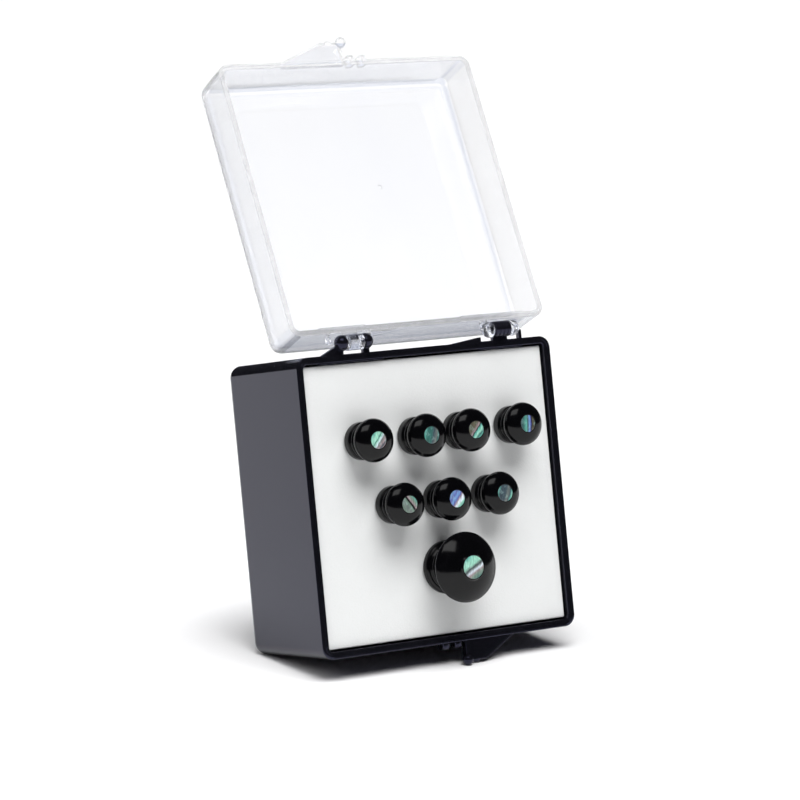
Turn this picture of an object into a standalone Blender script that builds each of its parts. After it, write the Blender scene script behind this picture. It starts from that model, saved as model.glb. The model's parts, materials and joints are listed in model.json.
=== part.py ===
"""Boxed set of seven ball-headed bridge pins and one end pin, held in a white foam insert.

The box is a hinged two-part case, a black tray and a clear lid. Both halves carry the same hinge and
latch pattern: turning one half by half a turn about the vertical gives the other. The box stands on
end, leaning back on the ball of its latch tab, and its lid is swung open against its stop.

Case frame: X across, Y from the rim plane to the tray's floor, Z from the latch wall to the hinge
wall. The empty "stand" carries that frame, leans it back and sets it down on Z = 0, with the origin
under the middle of the whole part. Metres.
"""

from math import asin, atan2, cos, hypot, pi, radians, sin

import bmesh
import bpy
from mathutils import Matrix, Vector

MM = 0.001
GAP = 0.3 * MM

# Case
CASE_SIDE = 54.0 * MM
TRAY_DEPTH = 27.7 * MM
LID_DEPTH = 10.3 * MM
TRAY_WALL = 1.35 * MM
LID_WALL = 1.1 * MM
LID_PLATE = 1.0 * MM
TRAY_DRAFT = 0.4 * MM
LID_DRAFT = 0.2 * MM
CORNER_RADIUS = 2.0 * MM
INNER_RADIUS = 0.8 * MM
RIM_CLEARANCE = GAP / 2
SET_BACK = 0.1 * MM
RIM_PAD_SPANS = ((-22.5 * MM, -9.0 * MM), (11.5 * MM, 21.0 * MM))
RIM_PAD_STEP = 0.2 * MM
RIM_PAD_HEIGHT = 0.65 * MM

# Hinge and latch pattern: distances from its middle, which is off the middle of the wall
HINGE_OFFSET = 2.0 * MM
HINGE_SHIFT = 0.7 * MM
HINGE_X = 15.65 * MM
KNUCKLE_WIDTH = 3.3 * MM
LUG_RADIUS = 1.47 * MM
LUG_BALL_SHIFT = 0.45 * MM
LUG_THICKNESS = 1.4 * MM
ARM_DEPTH = 1.3 * MM
PIP_RADIUS = 0.5 * MM
PIP_LENGTH = 1.0 * MM
GUSSET_LENGTH = 3.2 * MM
GUSSET_THICKNESS = 1.2 * MM
CHEEK_HEIGHT = 1.6 * MM
RAMP_HEIGHT = 0.8 * MM
LID_OPEN = radians(200)

# Latch
LATCH_SHIFT = 1.45 * MM
LATCH_BALL_X = 1.4 * MM
LATCH_BALL_RADIUS = 1.05 * MM
LATCH_REACH = 3.4 * MM
TRAY_TAB_LENGTH = 10.5 * MM
LID_TAB_LENGTH = 13.5 * MM
TAB_FLAT = 4.2 * MM
TAB_THICKNESS = 1.4 * MM
KEEPER_XS = (-0.1 * MM, -2.7 * MM)
KEEPER_RADIUS = 0.75 * MM
KEEPER_HEIGHT = 1.1 * MM
KEEPER_LENGTH = 2.0 * MM

# Foam
FOAM_RECESS = 1.0 * MM
FOAM_HOLE_MARGIN = 0.9 * MM

# Pins: places on the foam as (x, z) in the case frame
BRIDGE_PIN_PLACES = (
    (-15.0 * MM, 38.2 * MM),
    (-3.9 * MM, 38.1 * MM),
    (5.6 * MM, 38.2 * MM),
    (16.8 * MM, 38.3 * MM),
    (-9.8 * MM, 26.2 * MM),
    (0.2 * MM, 26.2 * MM),
    (10.5 * MM, 26.2 * MM),
)
END_PIN_PLACE = (0.4 * MM, 13.8 * MM)
PIN_SIDES = 20
END_PIN_SIDES = 28

BRIDGE_LENGTH = 28.6 * MM
BRIDGE_STAND = 6.8 * MM
BRIDGE_HEAD_RADIUS = 3.95 * MM
BRIDGE_HEAD_RISE = 1.9 * MM
BRIDGE_NECK_RADIUS = 3.0 * MM
BRIDGE_BEAD_RADIUS = 3.35 * MM
BRIDGE_COLLAR_RADIUS = 3.47 * MM
BRIDGE_SHANK_RADIUS = 2.7 * MM
BRIDGE_TIP_RADIUS = 2.05 * MM
BRIDGE_INLAY_RADIUS = 1.55 * MM
SLOT_WIDTH = 1.5 * MM
SLOT_DEPTH = 1.3 * MM

END_LENGTH = 29.5 * MM
END_STAND = 9.9 * MM
END_HEAD_RADIUS = 6.4 * MM
END_HEAD_RISE = 2.6 * MM
END_NECK_RADIUS = 3.9 * MM
END_BEAD_RADIUS = 4.25 * MM
END_COLLAR_RADIUS = 4.9 * MM
END_SHANK_RADIUS = 4.2 * MM
END_TIP_RADIUS = 3.0 * MM
END_INLAY_RADIUS = 2.1 * MM
INLAY_THICKNESS = 1.0 * MM

HINGE_Z = CASE_SIDE + HINGE_OFFSET
LUG_FACE = KNUCKLE_WIDTH / 2 + GAP
FOAM_BACK = TRAY_DEPTH - TRAY_WALL - GAP


def clear_scene():
    """Remove whatever the file opened with."""
    for obj in list(bpy.data.objects):
        bpy.data.objects.remove(obj, do_unlink=True)
    for block in (bpy.data.meshes, bpy.data.materials, bpy.data.collections):
        for item in list(block):
            block.remove(item)


def new_collection(name):
    """A collection of the scene."""
    collection = bpy.data.collections.new(name)
    bpy.context.scene.collection.children.link(collection)
    return collection


def new_material(name, colour, roughness, alpha=1.0):
    """A plastic-like Principled material."""
    material = bpy.data.materials.new(name)
    material.use_nodes = True
    shader = material.node_tree.nodes["Principled BSDF"]
    shader.inputs["Base Color"].default_value = (*colour, 1.0)
    shader.inputs["Roughness"].default_value = roughness
    shader.inputs["Metallic"].default_value = 0.0
    shader.inputs["Alpha"].default_value = alpha
    return material


def add_object(name, bm, collection, parent=None):
    """Turn a bmesh into an object of a collection."""
    bmesh.ops.recalc_face_normals(bm, faces=bm.faces)
    mesh = bpy.data.meshes.new(name)
    bm.to_mesh(mesh)
    bm.free()
    obj = bpy.data.objects.new(name, mesh)
    collection.objects.link(obj)
    obj.parent = parent
    return obj


def dress(obj, material, smooth_angle=None):
    """Give a part its material and, for a round piece, smooth shading."""
    obj.data.materials.append(material)
    if smooth_angle is not None:
        obj.data.shade_smooth()
        obj.data.set_sharp_from_angle(angle=smooth_angle)


def block(low, high):
    """A bmesh box between two corners."""
    bm = bmesh.new()
    size = Vector(high) - Vector(low)
    place = Matrix.Translation((Vector(low) + Vector(high)) / 2) @ Matrix.Diagonal((*size, 1.0))
    bmesh.ops.create_cube(bm, size=1.0, matrix=place)
    return bm


def drum(radius, low_x, high_x, y, z, sides):
    """A bmesh cylinder along X."""
    bm = bmesh.new()
    place = Matrix.Translation(((low_x + high_x) / 2, y, z)) @ Matrix.Rotation(pi / 2, 4, "Y")
    bmesh.ops.create_cone(
        bm, cap_ends=True, segments=sides, radius1=radius, radius2=radius, depth=high_x - low_x, matrix=place
    )
    return bm


def ball(radius, centre):
    """A bmesh sphere with its poles along X."""
    bm = bmesh.new()
    place = Matrix.Translation(centre) @ Matrix.Rotation(pi / 2, 4, "Y")
    bmesh.ops.create_uvsphere(bm, u_segments=16, v_segments=10, radius=radius, matrix=place)
    return bm


def drafted_block(low, high, draft, edge_radius, segments):
    """A box whose +Y end is drawn in by the draft, rounded on every edge but those of its -Y end."""
    bm = block(low, high)
    centre = (Vector(low) + Vector(high)) / 2
    for vert in bm.verts:
        if vert.co.y > centre.y:
            vert.co.x -= draft if vert.co.x > centre.x else -draft
            vert.co.z -= draft if vert.co.z > centre.z else -draft
    if edge_radius:
        edges = [edge for edge in bm.edges if any(vert.co.y > centre.y for vert in edge.verts)]
        bmesh.ops.bevel(
            bm, geom=edges, offset=edge_radius, segments=segments, profile=0.5, affect="EDGES"
        )
    return bm


def boolean(obj, other, operation):
    """Cut or join with another solid, which stays live and hidden."""
    modifier = obj.modifiers.new(f"{operation.lower()} {other.name}", "BOOLEAN")
    modifier.operation = operation
    modifier.object = other
    modifier.solver = "EXACT"
    other.hide_render = True
    other.display_type = "WIRE"


def slab(outline, low_y, high_y):
    """A bmesh prism along Y over an outline of (x, z) points."""
    bm = bmesh.new()
    front = [bm.verts.new((x, low_y, z)) for x, z in outline]
    back = [bm.verts.new((x, high_y, z)) for x, z in outline]
    bm.faces.new(front)
    bm.faces.new(back[::-1])
    for index, vert in enumerate(front):
        after = (index + 1) % len(front)
        bm.faces.new((front[after], vert, back[index], back[after]))
    bmesh.ops.recalc_face_normals(bm, faces=bm.faces)
    return bm


def lug_dome(face, side):
    """A ball cut flat at the plane X = face, on the given side of it."""
    dome = ball(LUG_RADIUS, (face + side * LUG_BALL_SHIFT, 0, HINGE_Z))
    bmesh.ops.bisect_plane(
        dome,
        geom=dome.verts[:] + dome.edges[:] + dome.faces[:],
        plane_co=(face, 0, 0),
        plane_no=(-side, 0, 0),
        clear_outer=True,
    )
    bmesh.ops.holes_fill(dome, edges=dome.edges)
    return dome


def hinge_solids():
    """The hinge pattern about its own middle: lugs and gusset at -X, knuckle, cheek and ramp at +X."""
    solids = {}
    front = RIM_CLEARANCE + SET_BACK
    root = CASE_SIDE - TRAY_WALL / 2
    for side, label in ((-1, "outer"), (1, "inner")):
        face = -HINGE_X + side * LUG_FACE
        solids[f"lug_dome_{label}"] = lug_dome(face, side)
        ends = sorted((face + side * SET_BACK, face + side * LUG_THICKNESS))
        solids[f"lug_arm_{label}"] = block((ends[0], front, root), (ends[1], ARM_DEPTH, HINGE_Z))
        pip_ends = sorted((face + side * LUG_BALL_SHIFT, face - side * PIP_LENGTH))
        solids[f"lug_pip_{label}"] = drum(PIP_RADIUS, *pip_ends, 0, HINGE_Z, 10)
    gusset_x = -HINGE_X - LUG_FACE - LUG_THICKNESS / 2
    gusset_tip = gusset_x - LUG_THICKNESS / 2 - GUSSET_LENGTH
    back = front + GUSSET_THICKNESS
    solids["gusset"] = slab(
        [(gusset_x, root), (gusset_x, HINGE_Z - SET_BACK), (gusset_tip, CASE_SIDE), (gusset_tip, root)],
        front + SET_BACK,
        back - 2 * SET_BACK,
    )
    knuckle = (HINGE_X - KNUCKLE_WIDTH / 2, HINGE_X + KNUCKLE_WIDTH / 2)
    solids["knuckle_barrel"] = drum(LUG_RADIUS, *knuckle, 0, HINGE_Z, 20)
    solids["knuckle_arm"] = block(
        (knuckle[0] + SET_BACK, front, root), (knuckle[1] - SET_BACK, ARM_DEPTH, HINGE_Z)
    )
    cheek_x = HINGE_X + LUG_FACE + LUG_BALL_SHIFT + LUG_RADIUS + GAP
    solids["cheek"] = block(
        (cheek_x, front, root), (cheek_x + GUSSET_THICKNESS / 2, back, CASE_SIDE + CHEEK_HEIGHT)
    )
    ramp_x = HINGE_X - LUG_FACE - LUG_BALL_SHIFT - LUG_RADIUS - GAP
    ramp_tip = ramp_x - 2 * GUSSET_LENGTH
    solids["ramp"] = slab(
        [(ramp_x, root), (ramp_x, CASE_SIDE + RAMP_HEIGHT), (ramp_tip, CASE_SIDE), (ramp_tip, root)],
        front,
        back,
    )
    return solids


def latch_solids(tab_length):
    """The latch pattern about its own middle: a tab of the given length, its ball, and two keepers."""
    front = RIM_CLEARANCE + SET_BACK
    root = TRAY_WALL / 2
    crest = -LATCH_REACH - LATCH_BALL_RADIUS / 3
    tab = [
        (LATCH_BALL_X, root),
        (LATCH_BALL_X, crest),
        (LATCH_BALL_X + TAB_FLAT, crest),
        (LATCH_BALL_X + tab_length, 0),
        (LATCH_BALL_X + tab_length, root),
    ]
    solids = {
        "latch_ball": ball(LATCH_BALL_RADIUS, (LATCH_BALL_X, 0, -LATCH_REACH)),
        "tab": slab(tab, front, front + TAB_THICKNESS),
    }
    for index, keeper_x in enumerate(KEEPER_XS):
        solids[f"keeper_{index + 1}"] = block(
            (keeper_x - KEEPER_RADIUS, front, -KEEPER_HEIGHT),
            (keeper_x + KEEPER_RADIUS, front + KEEPER_LENGTH, root),
        )
    return solids


def shifted(solids, shift):
    """Move each bmesh of a group, and give the group back."""
    for bm in solids.values():
        bmesh.ops.translate(bm, verts=bm.verts, vec=Vector(shift))
    return solids


def case_half(name, sizes, side, origin_z, parent):
    """One half of the case, its mesh measured from a point of the given height on its mid-plane.

    sizes are its depth, wall, floor, draft and tab length; side is 1 for the tray and -1 for the lid,
    whose hinge and latch patterns are off the middle to opposite sides.
    """
    depth, wall, floor, draft, tab_length = sizes
    half = CASE_SIDE / 2
    outer = drafted_block(
        (-half, RIM_CLEARANCE, 0), (half, depth, CASE_SIDE), draft, CORNER_RADIUS, segments=4
    )
    inner = drafted_block(
        (-half + wall, -floor, wall),
        (half - wall, depth - floor, CASE_SIDE - wall),
        draft,
        INNER_RADIUS,
        segments=2,
    )
    bore = drum(PIP_RADIUS + GAP, HINGE_X - KNUCKLE_WIDTH, HINGE_X + KNUCKLE_WIDTH, 0, HINGE_Z, 10)
    pads = {}
    for index, (low_x, high_x) in enumerate(RIM_PAD_SPANS):
        pads[f"rim_pad_{index + 1}"] = block(
            (low_x, RIM_CLEARANCE + SET_BACK, CASE_SIDE - wall - RIM_PAD_STEP),
            (high_x, RIM_CLEARANCE + RIM_PAD_HEIGHT, CASE_SIDE - wall / 2),
        )
    hinge = shifted({**hinge_solids(), "knuckle_bore": bore}, (side * HINGE_SHIFT, 0, 0))
    latch = shifted(latch_solids(tab_length), (side * LATCH_SHIFT, 0, 0))
    solids = {"cavity": inner, **pads, **hinge, **latch}
    to_origin = (0, 0, -origin_z)
    shell = add_object(name, *shifted({"outer": outer}, to_origin).values(), PARTS, parent)
    for label, bm in shifted(solids, to_origin).items():
        helper = add_object(f"{name}_{label}", bm, HELPERS, shell)
        boolean(shell, helper, "DIFFERENCE" if label in ("cavity", "knuckle_bore") else "UNION")
    return shell


def arc(centre, radii, start, end, steps):
    """Points of an elliptic arc in the (r, z) plane, angles in degrees."""
    points = []
    for index in range(steps + 1):
        angle = radians(start + (end - start) * index / steps)
        points.append((centre[0] + radii[0] * cos(angle), centre[1] + radii[1] * sin(angle)))
    return points


def turned(name, profile, sides, place, head_y, parent):
    """A turned piece on a Screw modifier: z = 0 is its head, at depth head_y, and it points out."""
    bm = bmesh.new()
    verts = [bm.verts.new((r, 0, z)) for r, z in profile]
    for upper, lower in zip(verts, verts[1:]):
        bm.edges.new((upper, lower))
    mesh = bpy.data.meshes.new(name)
    bm.to_mesh(mesh)
    bm.free()
    obj = bpy.data.objects.new(name, mesh)
    PARTS.objects.link(obj)
    screw = obj.modifiers.new("turned", "SCREW")
    screw.steps = sides
    screw.render_steps = sides
    screw.use_merge_vertices = True
    screw.merge_threshold = 0.00001
    obj.parent = parent
    obj.location = (place[0], head_y, place[1])
    obj.rotation_euler = (pi / 2, 0, 0)
    return obj


def recess(inlay_radius):
    """The seat of an inlay, from its middle out to the rim of the head's flat."""
    depth = INLAY_THICKNESS + GAP
    return [(0, -depth), (inlay_radius + GAP, -depth), (inlay_radius + GAP, -0.02 * MM)]


def bridge_pin_profile():
    """Ball head, cove, bead, groove, collar and tapered shank with a rounded tip."""
    widest = -BRIDGE_HEAD_RISE
    collar_back = -BRIDGE_STAND + GAP / 2
    neck_z = widest - 1.5 * MM
    tip = BRIDGE_TIP_RADIUS
    return [
        *recess(BRIDGE_INLAY_RADIUS),
        *arc((0, widest), (BRIDGE_HEAD_RADIUS, -widest * 1.1), 57, 0, 4),
        (BRIDGE_HEAD_RADIUS - 0.3 * MM, widest - 0.95 * MM),
        (BRIDGE_NECK_RADIUS, neck_z),
        (BRIDGE_BEAD_RADIUS, neck_z - 0.55 * MM),
        (BRIDGE_BEAD_RADIUS, neck_z - 0.95 * MM),
        (BRIDGE_NECK_RADIUS, neck_z - 1.25 * MM),
        (BRIDGE_COLLAR_RADIUS, neck_z - 1.65 * MM),
        (BRIDGE_COLLAR_RADIUS, collar_back + 0.5 * MM),
        (BRIDGE_COLLAR_RADIUS - 0.5 * MM, collar_back),
        (BRIDGE_SHANK_RADIUS, collar_back),
        (tip, -BRIDGE_LENGTH + tip / 2),
        (tip * 0.6, -BRIDGE_LENGTH + 0.1 * tip),
        (0, -BRIDGE_LENGTH),
    ]


def end_pin_profile():
    """Mushroom head, flared neck, bead, groove, collar and tapered shank with a rounded tip."""
    rim = -END_HEAD_RISE
    collar_back = -END_STAND + GAP / 2
    dome_radius = (END_HEAD_RADIUS**2 + END_HEAD_RISE**2) / (2 * END_HEAD_RISE)
    flat_angle = 90 - asin((END_INLAY_RADIUS + 0.4 * MM) / dome_radius) * 180 / pi
    rim_angle = 90 - asin((END_HEAD_RADIUS - 0.3 * MM) / dome_radius) * 180 / pi
    neck_z = rim - 4.0 * MM
    tip = END_TIP_RADIUS
    return [
        *recess(END_INLAY_RADIUS),
        *arc((0, -dome_radius), (dome_radius, dome_radius), flat_angle, rim_angle, 5),
        (END_HEAD_RADIUS, rim - 0.3 * MM),
        (END_HEAD_RADIUS - 0.5 * MM, rim - 1.0 * MM),
        (END_NECK_RADIUS + 0.7 * MM, rim - 2.4 * MM),
        (END_NECK_RADIUS, neck_z),
        (END_BEAD_RADIUS, neck_z - 0.5 * MM),
        (END_BEAD_RADIUS, neck_z - 0.9 * MM),
        (END_NECK_RADIUS, neck_z - 1.3 * MM),
        (END_COLLAR_RADIUS - 0.4 * MM, neck_z - 1.7 * MM),
        (END_COLLAR_RADIUS, neck_z - 2.2 * MM),
        (END_COLLAR_RADIUS, collar_back + 0.4 * MM),
        (END_COLLAR_RADIUS - 0.4 * MM, collar_back),
        (END_SHANK_RADIUS, collar_back),
        (tip, -END_LENGTH + tip / 2),
        (tip * 0.6, -END_LENGTH + 0.1 * tip),
        (0, -END_LENGTH),
    ]


def inlay_profile(radius):
    """A thin disc with its face at z = 0."""
    return [(0, 0), (radius, 0), (radius, -INLAY_THICKNESS), (0, -INLAY_THICKNESS)]


def add_foam(parent, holes):
    """The foam block with a blind hole for each pin: holes are (place, radius, depth)."""
    inner = CASE_SIDE / 2 - TRAY_WALL - GAP
    bm = drafted_block(
        (-inner, FOAM_RECESS, CASE_SIDE / 2 - inner),
        (inner, FOAM_BACK, CASE_SIDE / 2 + inner),
        TRAY_DRAFT,
        edge_radius=0,
        segments=0,
    )
    foam = add_object("foam_insert", bm, PARTS, parent)
    for index, (place, radius, depth) in enumerate(holes):
        hole = bmesh.new()
        mid = (FOAM_RECESS + depth) / 2
        matrix = Matrix.Translation((place[0], mid, place[1])) @ Matrix.Rotation(pi / 2, 4, "X")
        bmesh.ops.create_cone(
            hole,
            cap_ends=True,
            segments=PIN_SIDES,
            radius1=radius,
            radius2=radius,
            depth=depth - FOAM_RECESS + 4 * GAP,
            matrix=matrix,
        )
        boolean(foam, add_object(f"foam_hole_{index + 1}", hole, HELPERS, foam), "DIFFERENCE")
    return foam


def add_bridge_pin(index, place, parent):
    """One bridge pin with its slot, and its inlay."""
    head_y = FOAM_RECESS - BRIDGE_STAND
    name = f"bridge_pin_{index}"
    pin = turned(name, bridge_pin_profile(), PIN_SIDES, place, head_y, parent)
    slot = block(
        (-SLOT_WIDTH / 2, BRIDGE_SHANK_RADIUS - SLOT_DEPTH, -BRIDGE_LENGTH - GAP),
        (SLOT_WIDTH / 2, BRIDGE_COLLAR_RADIUS + GAP, -BRIDGE_STAND - 2 * GAP),
    )
    boolean(pin, add_object(f"{name}_slot", slot, HELPERS, pin), "DIFFERENCE")
    inlay_name = f"{name}_inlay"
    inlay = turned(inlay_name, inlay_profile(BRIDGE_INLAY_RADIUS), PIN_SIDES, place, head_y, parent)
    dress(pin, PIN_BLACK, smooth_angle=radians(35))
    dress(inlay, ABALONE, smooth_angle=radians(35))


def add_end_pin(place, parent):
    """The end pin and its inlay."""
    head_y = FOAM_RECESS - END_STAND
    pin = turned("end_pin", end_pin_profile(), END_PIN_SIDES, place, head_y, parent)
    profile = inlay_profile(END_INLAY_RADIUS)
    inlay = turned("end_pin_inlay", profile, END_PIN_SIDES, place, head_y, parent)
    dress(pin, PIN_BLACK, smooth_angle=radians(35))
    dress(inlay, ABALONE, smooth_angle=radians(35))


def lean_angle():
    """The lean at which the latch ball and the rounded edge of the tray's floor both touch down."""
    run = TRAY_DEPTH - CORNER_RADIUS
    rise = LATCH_REACH + CORNER_RADIUS + TRAY_DRAFT
    return atan2(rise, run) - asin((CORNER_RADIUS - LATCH_BALL_RADIUS) / hypot(run, rise))


def set_down(stand):
    """Move the stand so that the part rests on Z = 0 with the origin under its middle."""
    bpy.context.view_layer.update()
    graph = bpy.context.evaluated_depsgraph_get()
    corners = []
    for obj in PARTS.objects:
        evaluated = obj.evaluated_get(graph)
        mesh = evaluated.to_mesh()
        corners += [evaluated.matrix_world @ vert.co for vert in mesh.vertices]
        evaluated.to_mesh_clear()
    low = Vector([min(corner[axis] for corner in corners) for axis in range(3)])
    high = Vector([max(corner[axis] for corner in corners) for axis in range(3)])
    stand.location = (-(low.x + high.x) / 2, -(low.y + high.y) / 2, -low.z)


clear_scene()
PARTS = new_collection("boxed_bridge_pin_set")
HELPERS = new_collection("shaping_solids")
TRAY_BLACK = new_material("black polystyrene", (0.012, 0.012, 0.016), 0.15)
LID_CLEAR = new_material("clear polystyrene", (0.93, 0.94, 0.97), 0.05, alpha=0.25)
FOAM_WHITE = new_material("white foam", (0.85, 0.86, 0.85), 0.9)
PIN_BLACK = new_material("polished black", (0.008, 0.008, 0.009), 0.2)
ABALONE = new_material("abalone", (0.25, 0.6, 0.5), 0.2)

stand = bpy.data.objects.new("stand", None)
bpy.context.scene.collection.objects.link(stand)
stand.rotation_euler = (-lean_angle(), 0, 0)

tray_sizes = (TRAY_DEPTH, TRAY_WALL, TRAY_WALL, TRAY_DRAFT, TRAY_TAB_LENGTH)
tray = case_half("base_tray", tray_sizes, side=1, origin_z=0, parent=stand)
dress(tray, TRAY_BLACK, smooth_angle=radians(35))

lid_sizes = (LID_DEPTH, LID_WALL, LID_PLATE, LID_DRAFT, LID_TAB_LENGTH)
lid = case_half("clear_lid", lid_sizes, side=-1, origin_z=HINGE_Z, parent=stand)
lid.location = (0, 0, HINGE_Z)
lid.rotation_euler = (LID_OPEN, 0, pi)
dress(lid, LID_CLEAR, smooth_angle=radians(35))

bridge_hole = BRIDGE_LENGTH - BRIDGE_STAND + FOAM_RECESS + FOAM_HOLE_MARGIN
end_hole = END_LENGTH - END_STAND + FOAM_RECESS + FOAM_HOLE_MARGIN
pin_holes = [(place, BRIDGE_SHANK_RADIUS + GAP, bridge_hole) for place in BRIDGE_PIN_PLACES]
pin_holes.append((END_PIN_PLACE, END_SHANK_RADIUS + GAP, end_hole))
dress(add_foam(stand, pin_holes), FOAM_WHITE)
for number, pin_place in enumerate(BRIDGE_PIN_PLACES, start=1):
    add_bridge_pin(number, pin_place, stand)
add_end_pin(END_PIN_PLACE, stand)
set_down(stand)
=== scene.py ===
"""Looks of the boxed bridge pin set: black tray, clear lid, white foam, seven bridge pins and an end pin.

Every piece is modelled in its own frame, in metres, the way a maker would work it on the bench, and is
then put in its place on the leaning box. A piece's own frame is kept on its mesh as an attribute, which
is what the finishes follow.

Frames: a half of the case has X across, Y from the rim plane to its floor and Z from the latch wall to
the hinge wall, with the hinge axis at Z = 0. A turned piece has its axis on Z and its face at Z = 0.
"""

import json
import logging
from contextlib import contextmanager
from dataclasses import dataclass, field
from enum import Enum
from math import asin, cos, degrees, hypot, pi, radians, sin
from typing import Any, Callable, Iterator, Optional, Sequence, Union

import bmesh
import bpy
from mathutils import Euler, Matrix, Vector, noise


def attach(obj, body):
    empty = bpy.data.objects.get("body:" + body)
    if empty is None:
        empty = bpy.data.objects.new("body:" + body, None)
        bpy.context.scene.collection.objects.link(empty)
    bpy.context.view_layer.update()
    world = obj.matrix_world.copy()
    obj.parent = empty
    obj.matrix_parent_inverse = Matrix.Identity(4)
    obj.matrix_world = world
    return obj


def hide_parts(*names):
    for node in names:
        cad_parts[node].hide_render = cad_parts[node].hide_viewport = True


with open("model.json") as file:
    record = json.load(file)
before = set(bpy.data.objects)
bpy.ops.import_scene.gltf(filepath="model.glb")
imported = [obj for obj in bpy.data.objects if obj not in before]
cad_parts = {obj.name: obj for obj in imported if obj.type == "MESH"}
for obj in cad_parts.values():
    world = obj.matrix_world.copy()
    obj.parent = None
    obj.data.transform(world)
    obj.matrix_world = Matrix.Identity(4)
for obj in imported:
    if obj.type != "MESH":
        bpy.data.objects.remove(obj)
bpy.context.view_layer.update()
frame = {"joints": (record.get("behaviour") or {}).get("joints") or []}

MM = 0.001
OWN_PLACE = "own_place"
LOG = logging.getLogger("boxed_pins")

Point = tuple[float, float, float]
Profile = list[tuple[float, float]]
Colour = tuple[float, float, float]


class Join(Enum):
    """How one solid is worked into another."""

    ADD = "UNION"
    TAKE = "DIFFERENCE"


class Side(Enum):
    """The two halves of the case; the value is the way their patterns are off the middle."""

    TRAY = 1
    LID = -1


# --------------------------------------------------------------------------- the bench


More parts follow.
